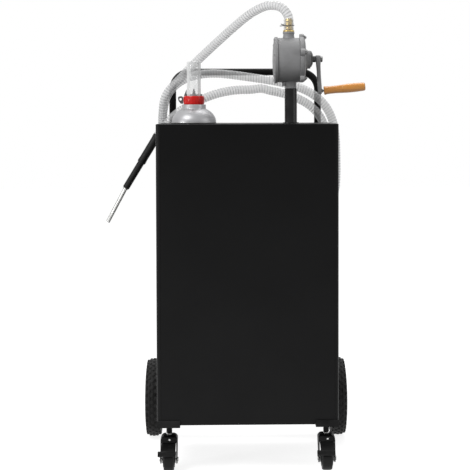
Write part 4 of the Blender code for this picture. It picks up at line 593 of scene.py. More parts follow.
def coil_line(loops):
    """The coil's centre line: ovals, squarer at the lower left, whose tops fall to the right."""
    angle = math.pi + TURN * loops
    power = 3.35 + 3.85 * np.maximum(0, np.cos(angle - math.radians(212.4))) ** 2
    across, up = np.cos(angle), np.sin(angle)
    reach = (np.abs(across) ** power + np.abs(up) ** power) ** (-1 / power)
    narrower, lower = 0.0115 * loops, 0.015 * loops
    aside = (0.2757 - narrower) * reach * across
    rise = (0.2565 - lower) * reach * up - 0.1669 * aside * np.maximum(0, up)
    bulge = np.maximum(0, np.cos(angle - math.radians(165.5))) ** 26
    lane = 0.1968 - 0.0174 * np.cos(math.pi * (loops - 0.2)) + 0.0345 * bulge
    return np.stack([0.0165 - narrower + aside, lane, 0.8913 - lower + rise], -1)


def through(places):
    """A smooth curve through places, from the second to the last but one (a Catmull-Rom spline)."""
    a, b, c, d = places[:-3], places[1:-2], places[2:-1], places[3:]
    t = (np.arange(24) / 24)[:, None, None]
    curve = 2 * b + (c - a) * t + (2 * a - 5 * b + 4 * c - d) * t**2 + (3 * b - a - 3 * c + d) * t**3
    return np.vstack([(curve / 2).transpose(1, 0, 2).reshape(-1, 3), places[-2]])


def evenly(line, step):
    """The same line with points at even steps."""
    walked = walked_along(line)
    at = np.linspace(0, walked[-1], round(walked[-1] / step) + 1)
    return np.stack([np.interp(at, walked, line[:, i]) for i in range(3)], -1), at


def hose_line():
    """The hose's whole centre line, from the barb's top through the coil to the nozzle."""
    coil = coil_line(np.linspace(0, COIL_LOOPS, 1001))
    step = COIL_LOOPS / round(COIL_LOOPS * 24)
    corner = coil_line(np.array([0, step, COIL_LOOPS - step, COIL_LOOPS]))
    first, last = unit(corner[1] - corner[0]), unit(corner[3] - corner[2])
    start = np.array((OUTLET_X, 0, BARB_TOP + 0.0003))
    aim = unit(NOZZLE_KNEE - NOZZLE_START)
    run = 2 * HOSE_RADIUS
    lead = np.vstack([start, start + np.array((0, 0, run / 4)), LEAD, coil[0] - first * run, coil[0]])
    tail = np.vstack([coil[-1], coil[-1] + last * run, TAIL, NOZZLE_START - aim * run / 3, NOZZLE_START])
    line = np.vstack([start, through(lead), coil, through(tail), NOZZLE_START])
    line, _ = evenly(line[np.r_[True, np.linalg.norm(np.diff(line, axis=0), axis=1) > 1e-7]], 0.002)
    # A short moving mean takes the slight corners out where the stretches meet.
    width = 9
    half = width // 2
    ends = (2 * line[0] - line[half:0:-1], 2 * line[-1] - line[-2:-half - 2:-1])
    padded = np.vstack([ends[0], line, ends[1]])
    return np.stack([np.convolve(padded[:, i], np.ones(width) / width, "valid") for i in range(3)], -1)


def add_hose():
    """The hose as a tube round its line, whose radius swells over each turn of the wire in its wall."""
    line = hose_line()
    free = walked_along(line)[-1]
    # The hose runs on inside the nozzle, where it is drawn thinner to fit the grip and the barrel.
    into = NOZZLE_KNEE - NOZZLE_START
    held = NOZZLE_START + into * np.linspace(0.005, 0.98, 60)[:, None]
    rows, at = evenly(np.vstack([line, held]), WIRE_PITCH / 7)
    side, up = framed(rows, Y_AXIS)
    angle = np.arange(20) * TURN / 20
    rounds = np.cos(angle)[None, :, None] * side[:, None] + np.sin(angle)[None, :, None] * up[:, None]
    swell = np.cos(TURN * at[:, None] / WIRE_PITCH - angle[None])
    thinner = np.clip((at - free) / 0.0008, 0, 1)[:, None]
    radius = (HOSE_RADIUS - 0.0002 + 0.0002 * swell) * (1 - thinner) + HELD_RADIUS * thinner
    shell = woven(rows[:, None] + radius[..., None] * rounds)
    swell = np.concatenate([swell.ravel(), (0, 0)])
    hose = piece("hose", [shell], "hose", "clear_plastic", "hose_lead", "hose_coil", "hose_tail",
                 attributes={"swell": swell}, sharp=60)

    fine, turned_by = evenly(line[2:-2], WIRE_PITCH / 13)
    side, up = framed(fine, Y_AXIS)
    angle = TURN * (turned_by + walked_along(line)[2]) / WIRE_PITCH
    radial = np.cos(angle)[:, None] * side + np.sin(angle)[:, None] * up
    spiral = fine + SPIRAL_RADIUS * radial
    along = unit(np.gradient(spiral, axis=0))
    across = np.cross(along, radial)
    wire = circle(WIRE_RADIUS, 5)
    grid = spiral[:, None] + wire[None, :, :1] * radial[:, None] + wire[None, :, 1:] * across[:, None]
    spring = piece("hose_wire", [woven(grid)], "wire", "bright_steel", sharp=90)
    nozzle()


def nozzle():
    """The ribbed rubber grip, the finely ribbed barrel and the thin spout, hanging from the hose's end."""
    aim = NOZZLE_KNEE - NOZZLE_START
    length = float(np.linalg.norm(aim))
    held = length * GRIP_SHARE
    at = np.linspace(0, held, 150)
    # The grip has a plain collar at each end and fine ribs between them.
    ribs = 0.5 + 0.5 * np.cos(TURN * at / GRIP_RIB_PITCH)
    middle = np.clip(np.minimum(at - 0.01, held - 0.01 - at) / 0.002, 0, 1)
    radius = 0.0131 - middle * (0.0003 + 0.0006 * ribs)
    radius = radius - 0.0016 * np.clip(1 - np.minimum(at, held - at) / 0.0015, 0, 1) ** 2
    outline = np.vstack([(0, 0), np.column_stack([radius, at]), (0, held)])
    grip = piece("nozzle_handgrip", [turned(outline, NOZZLE_START, aim, 48)], "rubber", "black_rubber",
                 "nozzle_grip")
    at = np.linspace(held + 0.0003, length, 80)
    radius = 0.0105 - 0.0002 * (0.5 + 0.5 * np.cos(TURN * (at - held) / BARREL_RIB_PITCH))
    radius = radius - 0.002 * np.clip(1 - (length - at) / 0.002, 0, 1) ** 2
    outline = np.vstack([(0, at[0]), np.column_stack([radius, at]), (0, length)])
    barrel = piece("nozzle_body", [turned(outline, NOZZLE_START, aim, 40)], "rubber", "black_rubber",
                   "nozzle_barrel")
    aim = NOZZLE_END - NOZZLE_KNEE
    end = float(np.linalg.norm(aim))
    outline = eased([
        (0, 0.0006), (0.0082, 0.0006), (0.0082, 0.0038), (0.0066, 0.005), (0.0066, end), (0.0056, end),
        (0.0056, end - 0.03), (0, end - 0.03),
    ], 0.0003)
    spout = piece("nozzle_tube", [turned(outline, NOZZLE_KNEE, aim, 32)], "zinc", "bright_steel",
                  "nozzle_spout")
    return grip, barrel, spout


# Tank, filler and gauge

def rounded_rectangle(half_x, half_y, corner, steps=7):
    """A loop of four quarter circles, anticlockwise from the right front."""
    middles = ((1, -1, -90), (1, 1, 0), (-1, 1, 90), (-1, -1, 180))
    arcs = [
        circle(corner, steps, (sx * (half_x - corner), sy * (half_y - corner)), start, start + 90.0)
        for sx, sy, start in middles
    ]
    return np.vstack(arcs)


def add_tank():
    """The shell as level loops from its underside to its top, with a folded seam up each front corner."""
    low, high, edge = 0.134, TANK_TOP, 0.0022
    half_x, half_y, corner = 0.2575, 0.165, 0.012
    quarter = np.radians(np.linspace(0, 90, 6))
    foot = [(low + edge * (1 - math.sin(a)), edge * (1 - math.cos(a))) for a in quarter[::-1]]
    top = [(high - edge * (1 - math.sin(a)), edge * (1 - math.cos(a))) for a in quarter]
    levels = foot + [(z, 0.0) for z in np.linspace(low + 0.03, high - 0.03, 24)] + top
    rings = []
    for z, inset in levels:
        ring = rounded_rectangle(half_x - inset, half_y - inset, corner - inset * 0.9)
        rings.append(np.column_stack([ring, np.full(len(ring), z)]))
    shell = woven(np.stack(rings), ends="face")
    seams = []
    seam_x, seam_y = 0.2462, -0.16495
    for side in (-1, 1):
        height = np.linspace(0.142, 0.976, 40)
        route = np.column_stack([np.full(40, side * seam_x), np.full(40, seam_y), height])
        seams.append(carried(route, circle(0.0009, 8), X_AXIS))
    piece("tank_shell", [shell, *seams], "tank", "black_paint", "tank")


def add_filler():
    """The domed filler with its stepped neck, and the seal under its edge."""
    centre = (FILLER_X, 0, 0.9866)
    # The bulge is an ellipse up to the neck, and the wall inside follows it 3 mm deeper.
    angle = np.radians(np.linspace(0, 56, 24))
    bulge = np.column_stack([0.065 * np.cos(angle), 0.002 + 0.0455 * np.sin(angle)])
    neck = eased([
        bulge[-1], (0.035, 0.0415), (0.035, 0.0529), (0.027, 0.0529), (0.027, 0.0704), (0.0235, 0.0704),
        (0.0235, 0.038),
    ], 0.0012)
    inner = np.column_stack([0.0615 * np.cos(angle[::-1]), 0.043 * np.sin(angle[::-1])])
    outline = np.vstack([[(0.061, 0), (0.0652, 0), (0.0652, 0.002)], bulge, neck[1:], inner])
    piece("filler_dome_shell", [turned(outline, centre, steps=96, ring=True)], "spun", "spun_metal",
          "filler_dome")
    lathed("filler_seal", [(39, 0), (65.5, 0), (65.5, 2), (39, 2)], 0.5, (FILLER_X, 0, 0.9843), "rubber",
           "black_rubber", "filler_gasket", ring=True)


def add_cap():
    """The red cap with its flutes, and the clear tube that stands on it."""
    centre = (FILLER_X, 0, 1.0398)
    side = drawn([
        (27.5, 0), (29, 0), (30.2, 3), (31.1, 9), (31.2, 15), (30.6, 21), (29, 24.5), (20.8, 24.5),
        (20.8, 21.5), (27.5, 21.5),
    ], 0.9, 5, closed=True)

    def flutes(height, angle):
        gripped = np.clip(np.minimum(height - 0.003, 0.02 - height) / 0.002, 0, 1)
        return 1 - 0.024 * gripped * np.exp(-((angle * 20 / TURN + 0.5) % 1 - 0.5) ** 2 / 0.012)

    piece("filler_cap_red", [turned(side, centre, steps=240, ring=True, ripple=flutes)], "red",
          "red_plastic", "filler_cap", body="cap")
    wall = drawn([
        (16.5, 18), (26.5, 18), (26.5, 19.6), (20.5, 19.6), (20.5, 122), (21.1, 122.8), (21.1, 124.4),
        (19.5, 125), (0, 125),
    ], 0.5)
    inside = [(0, 0.1212), (0.0155, 0.1212), (0.0165, 0.12), (0.0165, 0.018)]
    outline = np.vstack([wall, inside[:-1]])
    piece("gauge_tube", [turned(outline, centre, ring=True)], "clear", "clear_plastic",
          "sight_tube", body="cap")


def add_indicator():
    """The rod of the float gauge with its cone-shaped point."""
    lathed("gauge_pointer", [
        (0, 645.2), (2.2, 647.6), (2.2, 651.5), (1.5, 651.5), (1.5, 1064.3), (6, 1064.5), (6.2, 1066.5),
        (1.2, 1085.8), (0, 1086.3),
    ], 0.4, (FILLER_X, 0, 0), "foam", "float_foam", "gauge_indicator", body="indicator", steps=32)


# Suction pipe, pump and crank

def add_suction():
    """The pipe up to the pump, and the ring that holds it in the tank's top."""
    lathed("riser_pipe", [(15.2, 176), (18.2, 176), (18.2, 1085.9), (15.2, 1085.9)], 0.6, (PIPE_X, 0, 0),
           "pipe", "black_paint", "suction_pipe", ring=True)
    lathed("bung", [(18.5, 970), (21.7, 970), (21.7, 984.3), (23.5, 984.3), (23.5, 986.8), (18.5, 986.8)],
           0.6, (PIPE_X, 0, 0), "pipe", "black_paint", "bung_ring", ring=True)


def neck_shell(x, radius, low, high, flare, bore, collar):
    """A round port: it flares where it meets the drum and ends in a collar round its bore."""
    run = high - low
    at = np.linspace(0, 1, 16)
    body = np.column_stack([radius + flare * (1 - at) ** 3, low + run * at * 0.72])
    end = eased([
        (radius, low + run * 0.72), (radius + collar, low + run * 0.76), (radius + collar, high),
        (bore, high), (bore, high - run * 0.5), (0, high - run * 0.5),
    ], 0.0006)
    return turned(np.vstack([(0, low), body, end[1:]]), (x, 0, 0), steps=48)


# The front cover's ears, by their places along Y and Z from the pump's axis
EARS = circle(0.0665, 5, start=18.0, end=378.0)


def add_pump():
    """The pump's drum with its two necks and drain, its two covers, nuts and packing nut."""
    drum = drawn([(58, 91.5), (65.2, 91.5), (65.2, 123), (65.2, 155.5), (58, 155.5)], 0.8, 4, closed=True)
    shells = [turned(drum, (0, 0, PUMP_Z), X_AXIS, 128, ring=True)]
    shells.append(neck_shell(OUTLET_X, 0.016, PUMP_Z + 0.06, 1.252, 0.006, 0.0105, 0.0012))
    # The lower neck is made upside down and mirrored in Z.
    points, faces = neck_shell(PIPE_X, 0.016, 0.06 - PUMP_Z, -1.0862, 0.005, 0.0105, 0.0008)
    shells.append((points * (1, 1, -1), faces))
    drain = [(0, 0), (0.007, 0), (0.0058, 0.006), (0.0058, 0.0135), (0.005, 0.0145), (0, 0.0145)]
    shells.append(turned(drain, (0.1105, 0, PUMP_Z - 0.061), (0, 0, -1), 6))
    piece("pump_drum", shells, "cast", "cast_metal", "pump_housing")

    rear = drawn([
        (0, 76.7), (34, 78.2), (56, 80.5), (60, 82.2), (66.4, 82.2), (68.2, 84), (68.2, 91.2),
        (9.7, 91.2), (9.7, 84.6), (0, 84.6),
    ], 1, 4)
    shells = [turned(rear, (0, 0, PUMP_Z), X_AXIS, 96)]
    for shell in bolt((0.0822, 0, PUMP_Z + 0.0612), (-1, 0, 0), 0.0042, 0.0026, False):
        shells += copies(shell, 6, (0.0822, 0, PUMP_Z), X_AXIS, 0.3)
    piece("pump_rear_plate", shells, "cast", "cast_metal", "pump_rear_cover")

    front = drawn([
        (9.7, 155.8), (67, 155.8), (67, 166), (64, 170), (56, 172.2), (40, 174), (30, 174), (30, 179),
        (26.5, 179.7), (26.5, 188), (9.7, 188),
    ], 1.1, 4, closed=True)
    shells = [turned(front, (0, 0, PUMP_Z + 0.0015), X_AXIS, 96, ring=True)]
    ear = drawn([(0, 155.8), (10.5, 155.8), (10.5, 168.5), (0, 168.5)], 1)
    stud = drawn([(0, 168.5), (3.4, 168.5), (3.4, 176), (2.6, 176.8), (0, 176.8)], 0.3)
    for place in EARS:
        centre = (0, place[0], PUMP_Z + place[1])
        shells.append(turned(ear, centre, X_AXIS, 32))
        shells.append(turned(stud, centre, X_AXIS, 20))
    piece("pump_front_plate", shells, "cast", "cast_metal", "pump_front_cover")

    shells = []
    for place in EARS:
        shells += bolt((0.1686, place[0], PUMP_Z + place[1]), X_AXIS, 0.0064, 0.005)
    piece("pump_nuts", shells, "steel", "dark_steel")

    packing = drawn([(9.7, 188.3), (23.5, 188.3), (23, 191), (15, 195), (9.7, 195)], 0.6, closed=True)

    def flats(height, angle):
        return 1 - 0.05 * (0.5 - 0.5 * np.cos(angle * 6)) * np.clip((0.1945 - height) / 0.002, 0, 1)

    piece("gland_nut", [turned(packing, (0, 0, SHAFT_Z), X_AXIS, 96, ring=True, ripple=flats)], "cast_dark",
          "cast_metal", "packing_nut")


def add_crank():
    """The splayed arm as a loft of rounded sections, its nut, spindle and wooden grip."""
    hub, splay = 0.2036, math.radians(4.5)
    # Height over the shaft, left face, right face and half width of each section
    table = np.array([
        (11.2, 1.4, 13.3, 5), (8.5, 0, 14.7, 9.5), (3, 0, 14.7, 11.2), (-4, 0.2, 14.7, 11.2),
        (-11, 0.8, 14.7, 10.8), (-19, 1.7, 14.2, 9.6), (-33, 3.3, 14.7, 8.6), (-50, 4, 15.5, 8.5),
        (-70, 5.6, 17, 8.9), (-86, 7, 18.3, 9.4), (-96, 7.3, 18.5, 9.2), (-101, 7.6, 18.2, 7.2),
        (-102.7, 8.6, 17.2, 4.5),
    ]) / 1000
    at = np.linspace(0, 1, len(table))
    fine = np.linspace(0, 1, 73)
    rows = np.stack([np.interp(fine, at, table[:, i]) for i in range(4)], -1)
    kernel = np.array((1, 2, 3, 2, 1)) / 9
    edge = np.vstack([np.repeat(rows[:1], 2, 0), rows, np.repeat(rows[-1:], 2, 0)])
    rows = np.stack([np.convolve(edge[:, i], kernel, "valid") for i in range(4)], -1)
    angle = np.arange(40) * TURN / 40
    # A section is a rounded rectangle: a superellipse of power five.
    wide = np.sign(np.cos(angle)) * np.abs(np.cos(angle)) ** 0.4
    deep = np.sign(np.sin(angle)) * np.abs(np.sin(angle)) ** 0.4
    x = hub + rows[:, 1:2] + (rows[:, 2:3] - rows[:, 1:2]) * (0.5 + 0.5 * wide)
    grid = np.stack([x, rows[:, 3:4] * deep, SHAFT_Z + rows[:, :1] + 0 * wide], -1)
    piece("crank_lever", [woven(grid)], "cast", "cast_metal", "crank_arm", body="crank")
    lathed("crank_hexagon", [(5.1, 0), (8.8, 0), (8.8, 4.2), (7.4, 5.5), (5.1, 5.5)], 0.3,
           (hub + 0.015, 0, SHAFT_Z), "steel", "dark_steel", "crank_nut", body="crank", axis=X_AXIS,
           steps=6, ring=True, sharp=25)

    way = np.array((math.cos(GRIP_TILT), 0, math.sin(GRIP_TILT)))
    foot = np.array((hub + math.tan(splay) * 0.093 + 0.0112, 0, SHAFT_Z - 0.093))
    outline = drawn([(0, -5.4), (3, -5.4), (3, 115), (0, 115)], 0.3)
    collar = drawn([(3.1, 0.4), (5.6, 0.4), (5.6, 2.6), (3.1, 2.6)], 0.3, closed=True)
    piece("crank_spindle", [turned(outline, foot, way, 24), turned(collar, foot, way, 24, ring=True)],
          "steel", "dark_steel", "grip_spindle", body="crank")
    shares = np.array([
        (0, 0.8), (0.01, 0.96), (0.03, 0.95), (0.07, 0.87), (0.13, 0.83), (0.3, 0.83),
        (0.45, 0.91), (0.6, 0.98), (0.75, 0.98), (0.89, 0.93), (0.97, 0.89), (0.988, 0.84),
        (0.998, 0.72), (1.0, 0.55),
    ])
    at = np.unique(np.concatenate([np.linspace(0, 1, 90), shares[:, 0]]))
    wide = np.interp(at, shares[:, 0], shares[:, 1])
    wide[3:-8] = np.convolve(wide, np.ones(7) / 7, "same")[3:-8]
    outline = np.column_stack([GRIP_RADIUS * wide, GRIP_LENGTH * at])
    outline = np.vstack([(0.0033, 0), outline, (0, GRIP_LENGTH), (0, 0.11), (0.0033, 0.11)])
    piece("grip_wood", [turned(outline, foot + way * 0.006, way, 56, ring=True)], "wood", "wood",
          "wooden_grip", body="grip", sharp=50)


def add_outlet():
    """The brass barb, the hose's end over it, and the wire clamp round that."""
    centre = (OUTLET_X, 0, BARB_FOOT)
    pitch = 0.034 / 3
    outline = [(0.0062, 0), (0.0165, 0), (0.0165, 0.004)]
    for base in 0.004 + pitch * np.arange(3):
        outline += [(0.0108, base), (0.0129, base + pitch * 0.35), (0.0108, base + pitch * 0.95)]
    outline += [(0.0096, 0.038), (0.0062, 0.038)]
    barb = turned(eased(outline, 0.0004, closed=True), centre, steps=48, ring=True)
    piece("barb_brass", [barb], "brass", "brass", "outlet_barb")

    at = np.linspace(0.0043, 0.038, 60)
    swell = 0.0146 + 0.0002 * np.cos(TURN * at / WIRE_PITCH)
    swell -= 0.0008 * np.clip((at - 0.03) / 0.008, 0, 1) ** 2
    swell[0] -= 0.0006
    inner = np.column_stack([np.full(60, 0.0132), at[::-1]])
    outline = np.vstack([np.column_stack([swell, at]), inner])
    piece("hose_cuff", [turned(outline, centre, steps=40, ring=True)], "clear", "clear_plastic", "hose_end",
          sharp=70)

    # A sprung wire ring: it starts and ends in tails that stand out side by side.
    start = 205
    angle = np.radians(np.linspace(start, start + 352, 90))
    height = BARB_FOOT + 0.0176 + 0.0026 * np.linspace(0, 1, 90)
    radius = 0.0158
    ring = np.column_stack([OUTLET_X + radius * np.cos(angle), radius * np.sin(angle), height])
    out = np.array((math.cos(math.radians(start)), math.sin(math.radians(start)), 0))
    tails = [ring[0] + out * reach + (0, 0, -0.12 * reach) for reach in (0.013, 0.0065)]
    ends = [ring[-1] + out * reach + (0, 0, 0.2 * reach) for reach in (0.0045, 0.0085)]
    route, _ = evenly(np.vstack([tails, ring, ends]), 0.001)
    wire = carried(route, circle(0.0013, 10), (0, 0, 1))
    piece("clamp_spring", [wire], "steel", "bright_steel", "hose_clamp")


# Handle, axle and wheels

def add_handle():
    """The bent tube behind the tank, its crossbar, and the two posts that hold it off."""
    half, top, bend = 0.2268, 1.142, 0.055
    right = circle(bend, 17, (half - bend, top - bend), 0.0, 90.0)
    left = circle(bend, 17, (bend - half, top - bend), 90.0, 180.0)
    rise = np.column_stack([np.full(30, half), np.linspace(0.1331, top - bend, 30)])
    across = np.column_stack([np.linspace(half - bend, bend - half, 20), np.full(20, top)])
    fall = rise[::-1] * (-1, 1)
    route = np.vstack([rise[:-1], right, across[1:-1], left, fall[1:]])
    route = np.column_stack([route[:, 0], np.full(len(route), AXLE_Y), route[:, 1]])
    piece("handle_tube", [carried(route, circle(0.0108, 32), Y_AXIS)], "black", "black_paint", "push_handle")

    tube_radius, reach, post_x, screw_circle = 0.0108, 0.2157, 0.11, 0.0135
    bar = [(0, -reach), (tube_radius, -reach), (tube_radius, reach), (0, reach)]
    shells = [turned(bar, (0, AXLE_Y, BRACE_Z), X_AXIS, 32)]
    stand = drawn([(0, -73.7), (18, -73.7), (18, -69.7), (10, -69), (9, -66), (9, -4), (0, 0)], 0.8)
    for side in (-1, 1):
        shells.append(turned(stand, (side * post_x, AXLE_Y, BRACE_Z), Y_AXIS, 40))
        shells.append(bead(ring_route((side * post_x, 0.2295, BRACE_Z), 0.0098), 0.0013, Y_AXIS))
        for angle in (45, 135, 225, 315):
            a = math.radians(angle)
            place = (side * post_x + screw_circle * math.cos(a), 0.1693, BRACE_Z + screw_circle * math.sin(a))
            shells += bolt(place, Y_AXIS, 0.0024, 0.0018, False)
    piece("handle_crossbar", shells, "black", "black_paint", "handle_brace")


def ring_route(centre, radius):
    """A round route about a line along Y, with its first point again at its end."""
    angle = np.linspace(0, TURN, 49)
    return np.asarray(centre) + radius * np.column_stack([np.cos(angle), 0 * angle, -np.sin(angle)])


def tyre_shell(x):
    """The carcass: a rounded section with two raised rings on each sidewall."""
    half = drawn([
        (70.3, 16), (75, 19), (80, 22), (85, 23.4), (90, 23.8), (96, 23.8), (102, 23.4), (106.5, 22.4),
        (110.5, 20.4), (114, 17), (116.5, 12), (118, 6), (118.4, 0),
    ], 3, 4)
    ridges = sum(np.exp(-((half[:, 0] - radius) / 0.0012) ** 2) for radius in (0.082, 0.0985))
    half[:, 1] = np.minimum(half[:, 1] + 0.0006 * ridges, 0.0239)
    outline = np.vstack([half, half[::-1][1:] * (1, -1)])
    return turned(outline, (x, AXLE_Y, WHEEL_Z), X_AXIS, 120, ring=True)


def knob(across, low, high, width, length):
    """A tread knob as a tapered block on the crown: four levels of eight points each."""
    corner = np.array([
        (-1, -0.6), (-0.6, -1), (0.6, -1), (1, -0.6), (1, 0.6), (0.6, 1), (-0.6, 1), (-1, 0.6),
    ])
    rows = []
    for share, size in ((0.0, 1.14), (0.75, 1.0), (0.95, 0.94), (1.0, 0.84)):
        level = low + (high - low) * share
        x = across + corner[:, 0] * width / 2 * size
        rows.append(np.column_stack([x, corner[:, 1] * length / 2 * size, np.full(8, level)]))
    return woven(np.stack(rows), ends="face")


def add_rear_wheel(name, side):
    """A tyre with its five rows of tread blocks, its disc with four bolts, and its valve."""
    x = side * REAR_WHEEL_X
    body = f"rear_wheel_{name}"
    centre = (x, AXLE_Y, WHEEL_Z)
    shells = [tyre_shell(x)]
    for across, low, high, width, start in (
        (0.0188, 0.108, 0.1152, 0.0066, 0.0), (-0.0188, 0.108, 0.1152, 0.0066, 0.0),
        (0.0098, 0.114, 0.1192, 0.0072, 0.5), (-0.0098, 0.114, 0.1192, 0.0072, 0.5),
        (0.0, 0.116, 0.1202, 0.0078, 0.0),
    ):
        block = moved(knob(across, low, high, width, 0.0118), by=centre)
        shells += copies(block, TREAD_BLOCKS, centre, X_AXIS, TURN / TREAD_BLOCKS * start)
    piece(f"tyre_tread_{name}", shells, "tyre", "tyre_rubber", f"tyre_{name}", body=body)

    half = np.array([
        (8.3, 22), (15, 22), (15.5, 5.5), (30, 4), (52, 5.2), (58, 6), (65.5, 16.5), (66.8, 18.5), (70, 18.5),
    ])
    outline = drawn(np.vstack([half, half[::-1] * (1, -1)]), 1.2, 4, closed=True)
    shells = [turned(outline, centre, X_AXIS, 96, ring=True)]
    for way in (-1, 1):
        for shell in bolt((x + way * 0.0044, AXLE_Y, WHEEL_Z + 0.024), (way, 0, 0), 0.0048, 0.0036):
            shells += copies(shell, 4, centre, X_AXIS, 0.4)
    piece(f"wheel_disc_{name}", shells, "black", "black_paint", f"rim_{name}", body=body)
    valve = drawn([(0, 0), (3.2, 0), (3, 9), (2.4, 10), (2.4, 17), (0, 17.5)], 0.3)
    place = (x + side * 0.0115, AXLE_Y, WHEEL_Z + 0.0625)
    piece(f"tyre_valve_{name}", [turned(valve, place, (side * 0.35, 0, -1), 16)], "rubber", "black_rubber",
          body=body)


def add_axle():
    """The sleeve across the back, and the bar through it and both wheels."""
    centre = (0, AXLE_Y, WHEEL_Z)
    lathed("axle_sleeve", [(8.3, -265.2), (12.5, -265.2), (12.5, 265.2), (8.3, 265.2)], 0.6, centre,
           "black", "black_paint", "axle_tube", axis=X_AXIS, steps=40, ring=True)
    end = drawn([
        (8, 309.8), (13, 309.8), (13, 311), (9.4, 311.4), (9.4, 313.6), (7.8, 314.8), (0, 315),
    ], 0.5)
    outline = np.vstack([end[::-1] * (1, -1), end])
    piece("axle_bar", [turned(outline, centre, X_AXIS, 40)], "zinc", "bright_steel", "axle")


# Casters

def hood_shell(x):
    """The caster's hood as one sheet: an arch over the wheel whose sides taper down to the axle.

    The first parameter walks the arch from the left eye over the top to the right eye, and the
    second runs from its front edge to its rear edge, which come closer as the sides go down.
    """
    half, top, bend, low = HOOD_HALF, HOOD_TOP, 0.013, 0.0225
    right = circle(bend, 13, (half - bend, top - bend), 0.0, 90.0)
    left = circle(bend, 13, (bend - half, top - bend), 90.0, 180.0)
    down = np.linspace(top - bend, low, 24)[1:]
    arch = np.vstack([
        np.column_stack([np.full(23, half), down[::-1]]), right,
        np.column_stack([np.linspace(half - bend, bend - half, 10)[1:-1], np.full(8, top)]),
        left, np.column_stack([np.full(23, -half), down]),
    ])
    z = arch[:, 1]
    middle = np.interp(z, (0.0225, 0.0335, 0.075, top), (-0.147, -0.147, -0.126, -0.12))
    heights = (0.0225, 0.0255, 0.0335, 0.07, 0.086, top)
    reach = np.interp(z, heights, (0.0052, 0.0088, 0.0115, 0.0235, 0.0262, 0.027))
    across = np.linspace(-1, 1, 15)
    y = middle[:, None] + reach[:, None] * across
    # The front and rear edges of the crown bow down a little.
    bow = 0.0045 * np.abs(across[None]) ** 3 * np.clip((z[:, None] - 0.08) / 0.019, 0, 1)
    return np.stack([x + arch[:, :1] * (1 - 0.03 * np.abs(across[None]) ** 3), y, z[:, None] - bow], -1)


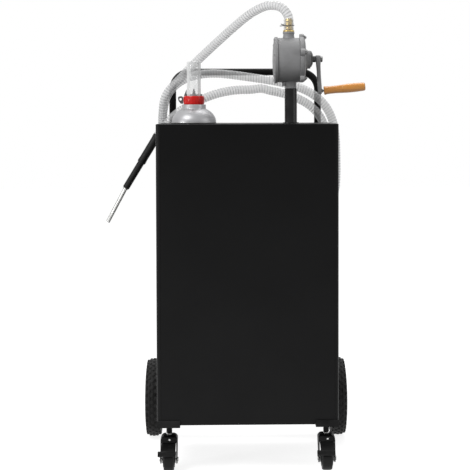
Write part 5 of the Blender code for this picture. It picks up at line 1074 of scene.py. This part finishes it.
def add_caster(name, side):
    """A caster: hood and apron, post with its ring, roller and bolt, brake pedal, and the shelf over it."""
    x = side * CASTER_X
    swivel = f"swivel_{name}"
    grid = hood_shell(x)
    inner = grid.copy()
    inner[..., 0] = x + (grid[..., 0] - x) * (1 - HOOD_SHEET / HOOD_HALF)
    inner[..., 2] = grid[..., 2] - HOOD_SHEET * np.clip((grid[..., 2] - 0.08) / 0.019, 0, 1)
    # Outside and inside are joined round the hood's rim.
    hood = woven(np.concatenate([grid, inner[:, ::-1]], axis=1), ends="face")
    # The crown's front edge folds down into an apron with a rivet, as wide as the crown inside.
    fold = drawn([
        (-145.5, 96.5), (-148.2, 93.5), (-148.6, 80), (-146.6, 80), (-146.2, 92.5), (-144, 94.5),
    ], 0.8, 4, closed=True)
    apron = slab(fold, x - 0.0206, x + 0.0206, 0.0005)
    rivet = drawn([(0, -0.6), (3.4, -0.6), (3.4, 0.4), (2.2, 1.6), (0, 1.8)], 0.4)
    piece(f"caster_hood_{name}", [hood, apron], "black", "black_paint", f"caster_fork_{name}", body=swivel)
    piece(f"caster_rivet_{name}", [turned(rivet, (x + 0.002, -0.1485, 0.0885), (0, -1, 0), 20)], "zinc",
          "bright_steel", body=swivel)

    lathed(f"caster_post_{name}", [
        (0, 127.4), (8.3, 127.4), (8.3, 104), (4.2, 104), (4.2, 95.7), (7.5, 95.7), (5.8, 91.7),
        (0, 91.7),
    ], 0.4, (x, SWIVEL_Y, 0), "black", "bright_steel", f"caster_stem_{name}", body=swivel, steps=40)
    lathed(f"caster_race_{name}", [(4.5, 99.3), (9.2, 99.3), (9.2, 100.8), (6.2, 103.7), (4.5, 103.7)], 0.5,
           (x, SWIVEL_Y, 0), "zinc", "bright_steel", body=swivel, steps=40, ring=True)

    centre = (x, *CASTER_AXLE)
    wheel = drawn([
        (4.3, 19), (10.5, 19), (11.5, 17), (20.5, 16.5), (22.5, 16), (22.8, 14.5), (30, 14.4), (33, 11),
        (33.5, 6),
    ], 0.8, 4)
    outline = np.vstack([wheel, wheel[::-1] * (1, -1)])
    piece(f"caster_roller_{name}", [turned(outline, centre, X_AXIS, 72, ring=True)], "rubber",
          "black_rubber", f"caster_wheel_{name}", body=f"caster_wheel_{name}")
    head = drawn([(4, 24.8), (6.5, 24.8), (6.2, 27), (3, 27.6), (0, 27.6)], 0.4)
    outline = np.vstack([head[::-1] * (1, -1), head])
    piece(f"caster_bolt_{name}", [turned(outline, centre, X_AXIS, 28)], "zinc", "bright_steel",
          f"caster_axle_{name}", body=f"caster_wheel_{name}")

    inner_arc = circle(0.04154, 14, CASTER_AXLE, 95.0, 155.0)
    outer_arc = circle(0.04404, 14, CASTER_AXLE, 95.0, 155.0)[::-1]
    outline = np.vstack([[(-0.128, 0.07925)], inner_arc, outer_arc, [(-0.128, 0.08175)]])
    shells = [slab(outline, x - 0.02, x + 0.02, 0.0005)]
    barrel = drawn([(0, -21.2), (4, -21.2), (4, 21.2), (0, 21.2)], 0.4)
    shells.append(turned(barrel, (x, -0.132, 0.0805), X_AXIS, 28))
    tab_arcs = [circle(radius, 8, CASTER_AXLE, 136.0, 156.0) for radius in (0.04185, 0.04529)]
    tab = np.vstack([tab_arcs[0], tab_arcs[1][::-1]])
    shells.append(slab(tab, x - 0.03, x + 0.0215, 0.0007))
    piece(f"brake_pedal_{name}", shells, "black", "black_paint", f"caster_brake_{name}",
          body=f"brake_{name}")

    angled = drawn([
        (-169.3, 127.7), (-87.3, 127.7), (-87.3, 133.7), (-165.3, 133.7), (-165.3, 147.7), (-169.3, 147.7),
    ], 1.2, 4, closed=True)
    shelf = slab(angled, x - 0.03275, x + 0.03275, 0.0006)
    piece(f"caster_shelf_{name}", [shelf], "black", "black_paint", f"caster_bracket_{name}")


def carry_over():
    """The frame's own solids that stay, each with its finish."""
    kept = {
        "dark": ("lock_lug", "tube_clip", "vane_1", "vane_2", "vane_3", "vane_4"),
        "zinc": ("gauge_stem", "float_arm"),
        "steel": ("pump_rotor",),
        "brass": ("foot_strainer",),
        "foam": ("float",),
        "black": ("hose_hook_left", "hose_hook_right", "axle_bracket_left", "axle_bracket_right"),
    }
    for finish, nodes in kept.items():
        for node in nodes:
            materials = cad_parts[node].data.materials
            materials.clear()
            materials.append(FINISHES[finish])


def main():
    """Makes the whole picture."""
    add_camera()
    add_surroundings()
    add_hose()
    add_tank()
    add_filler()
    add_cap()
    add_indicator()
    add_suction()
    add_pump()
    add_crank()
    add_outlet()
    add_handle()
    add_axle()
    for name, side in (("left", -1), ("right", 1)):
        add_rear_wheel(name, side)
        add_caster(name, side)
    carry_over()
    bpy.context.scene.view_settings.view_transform = "Standard"


main()
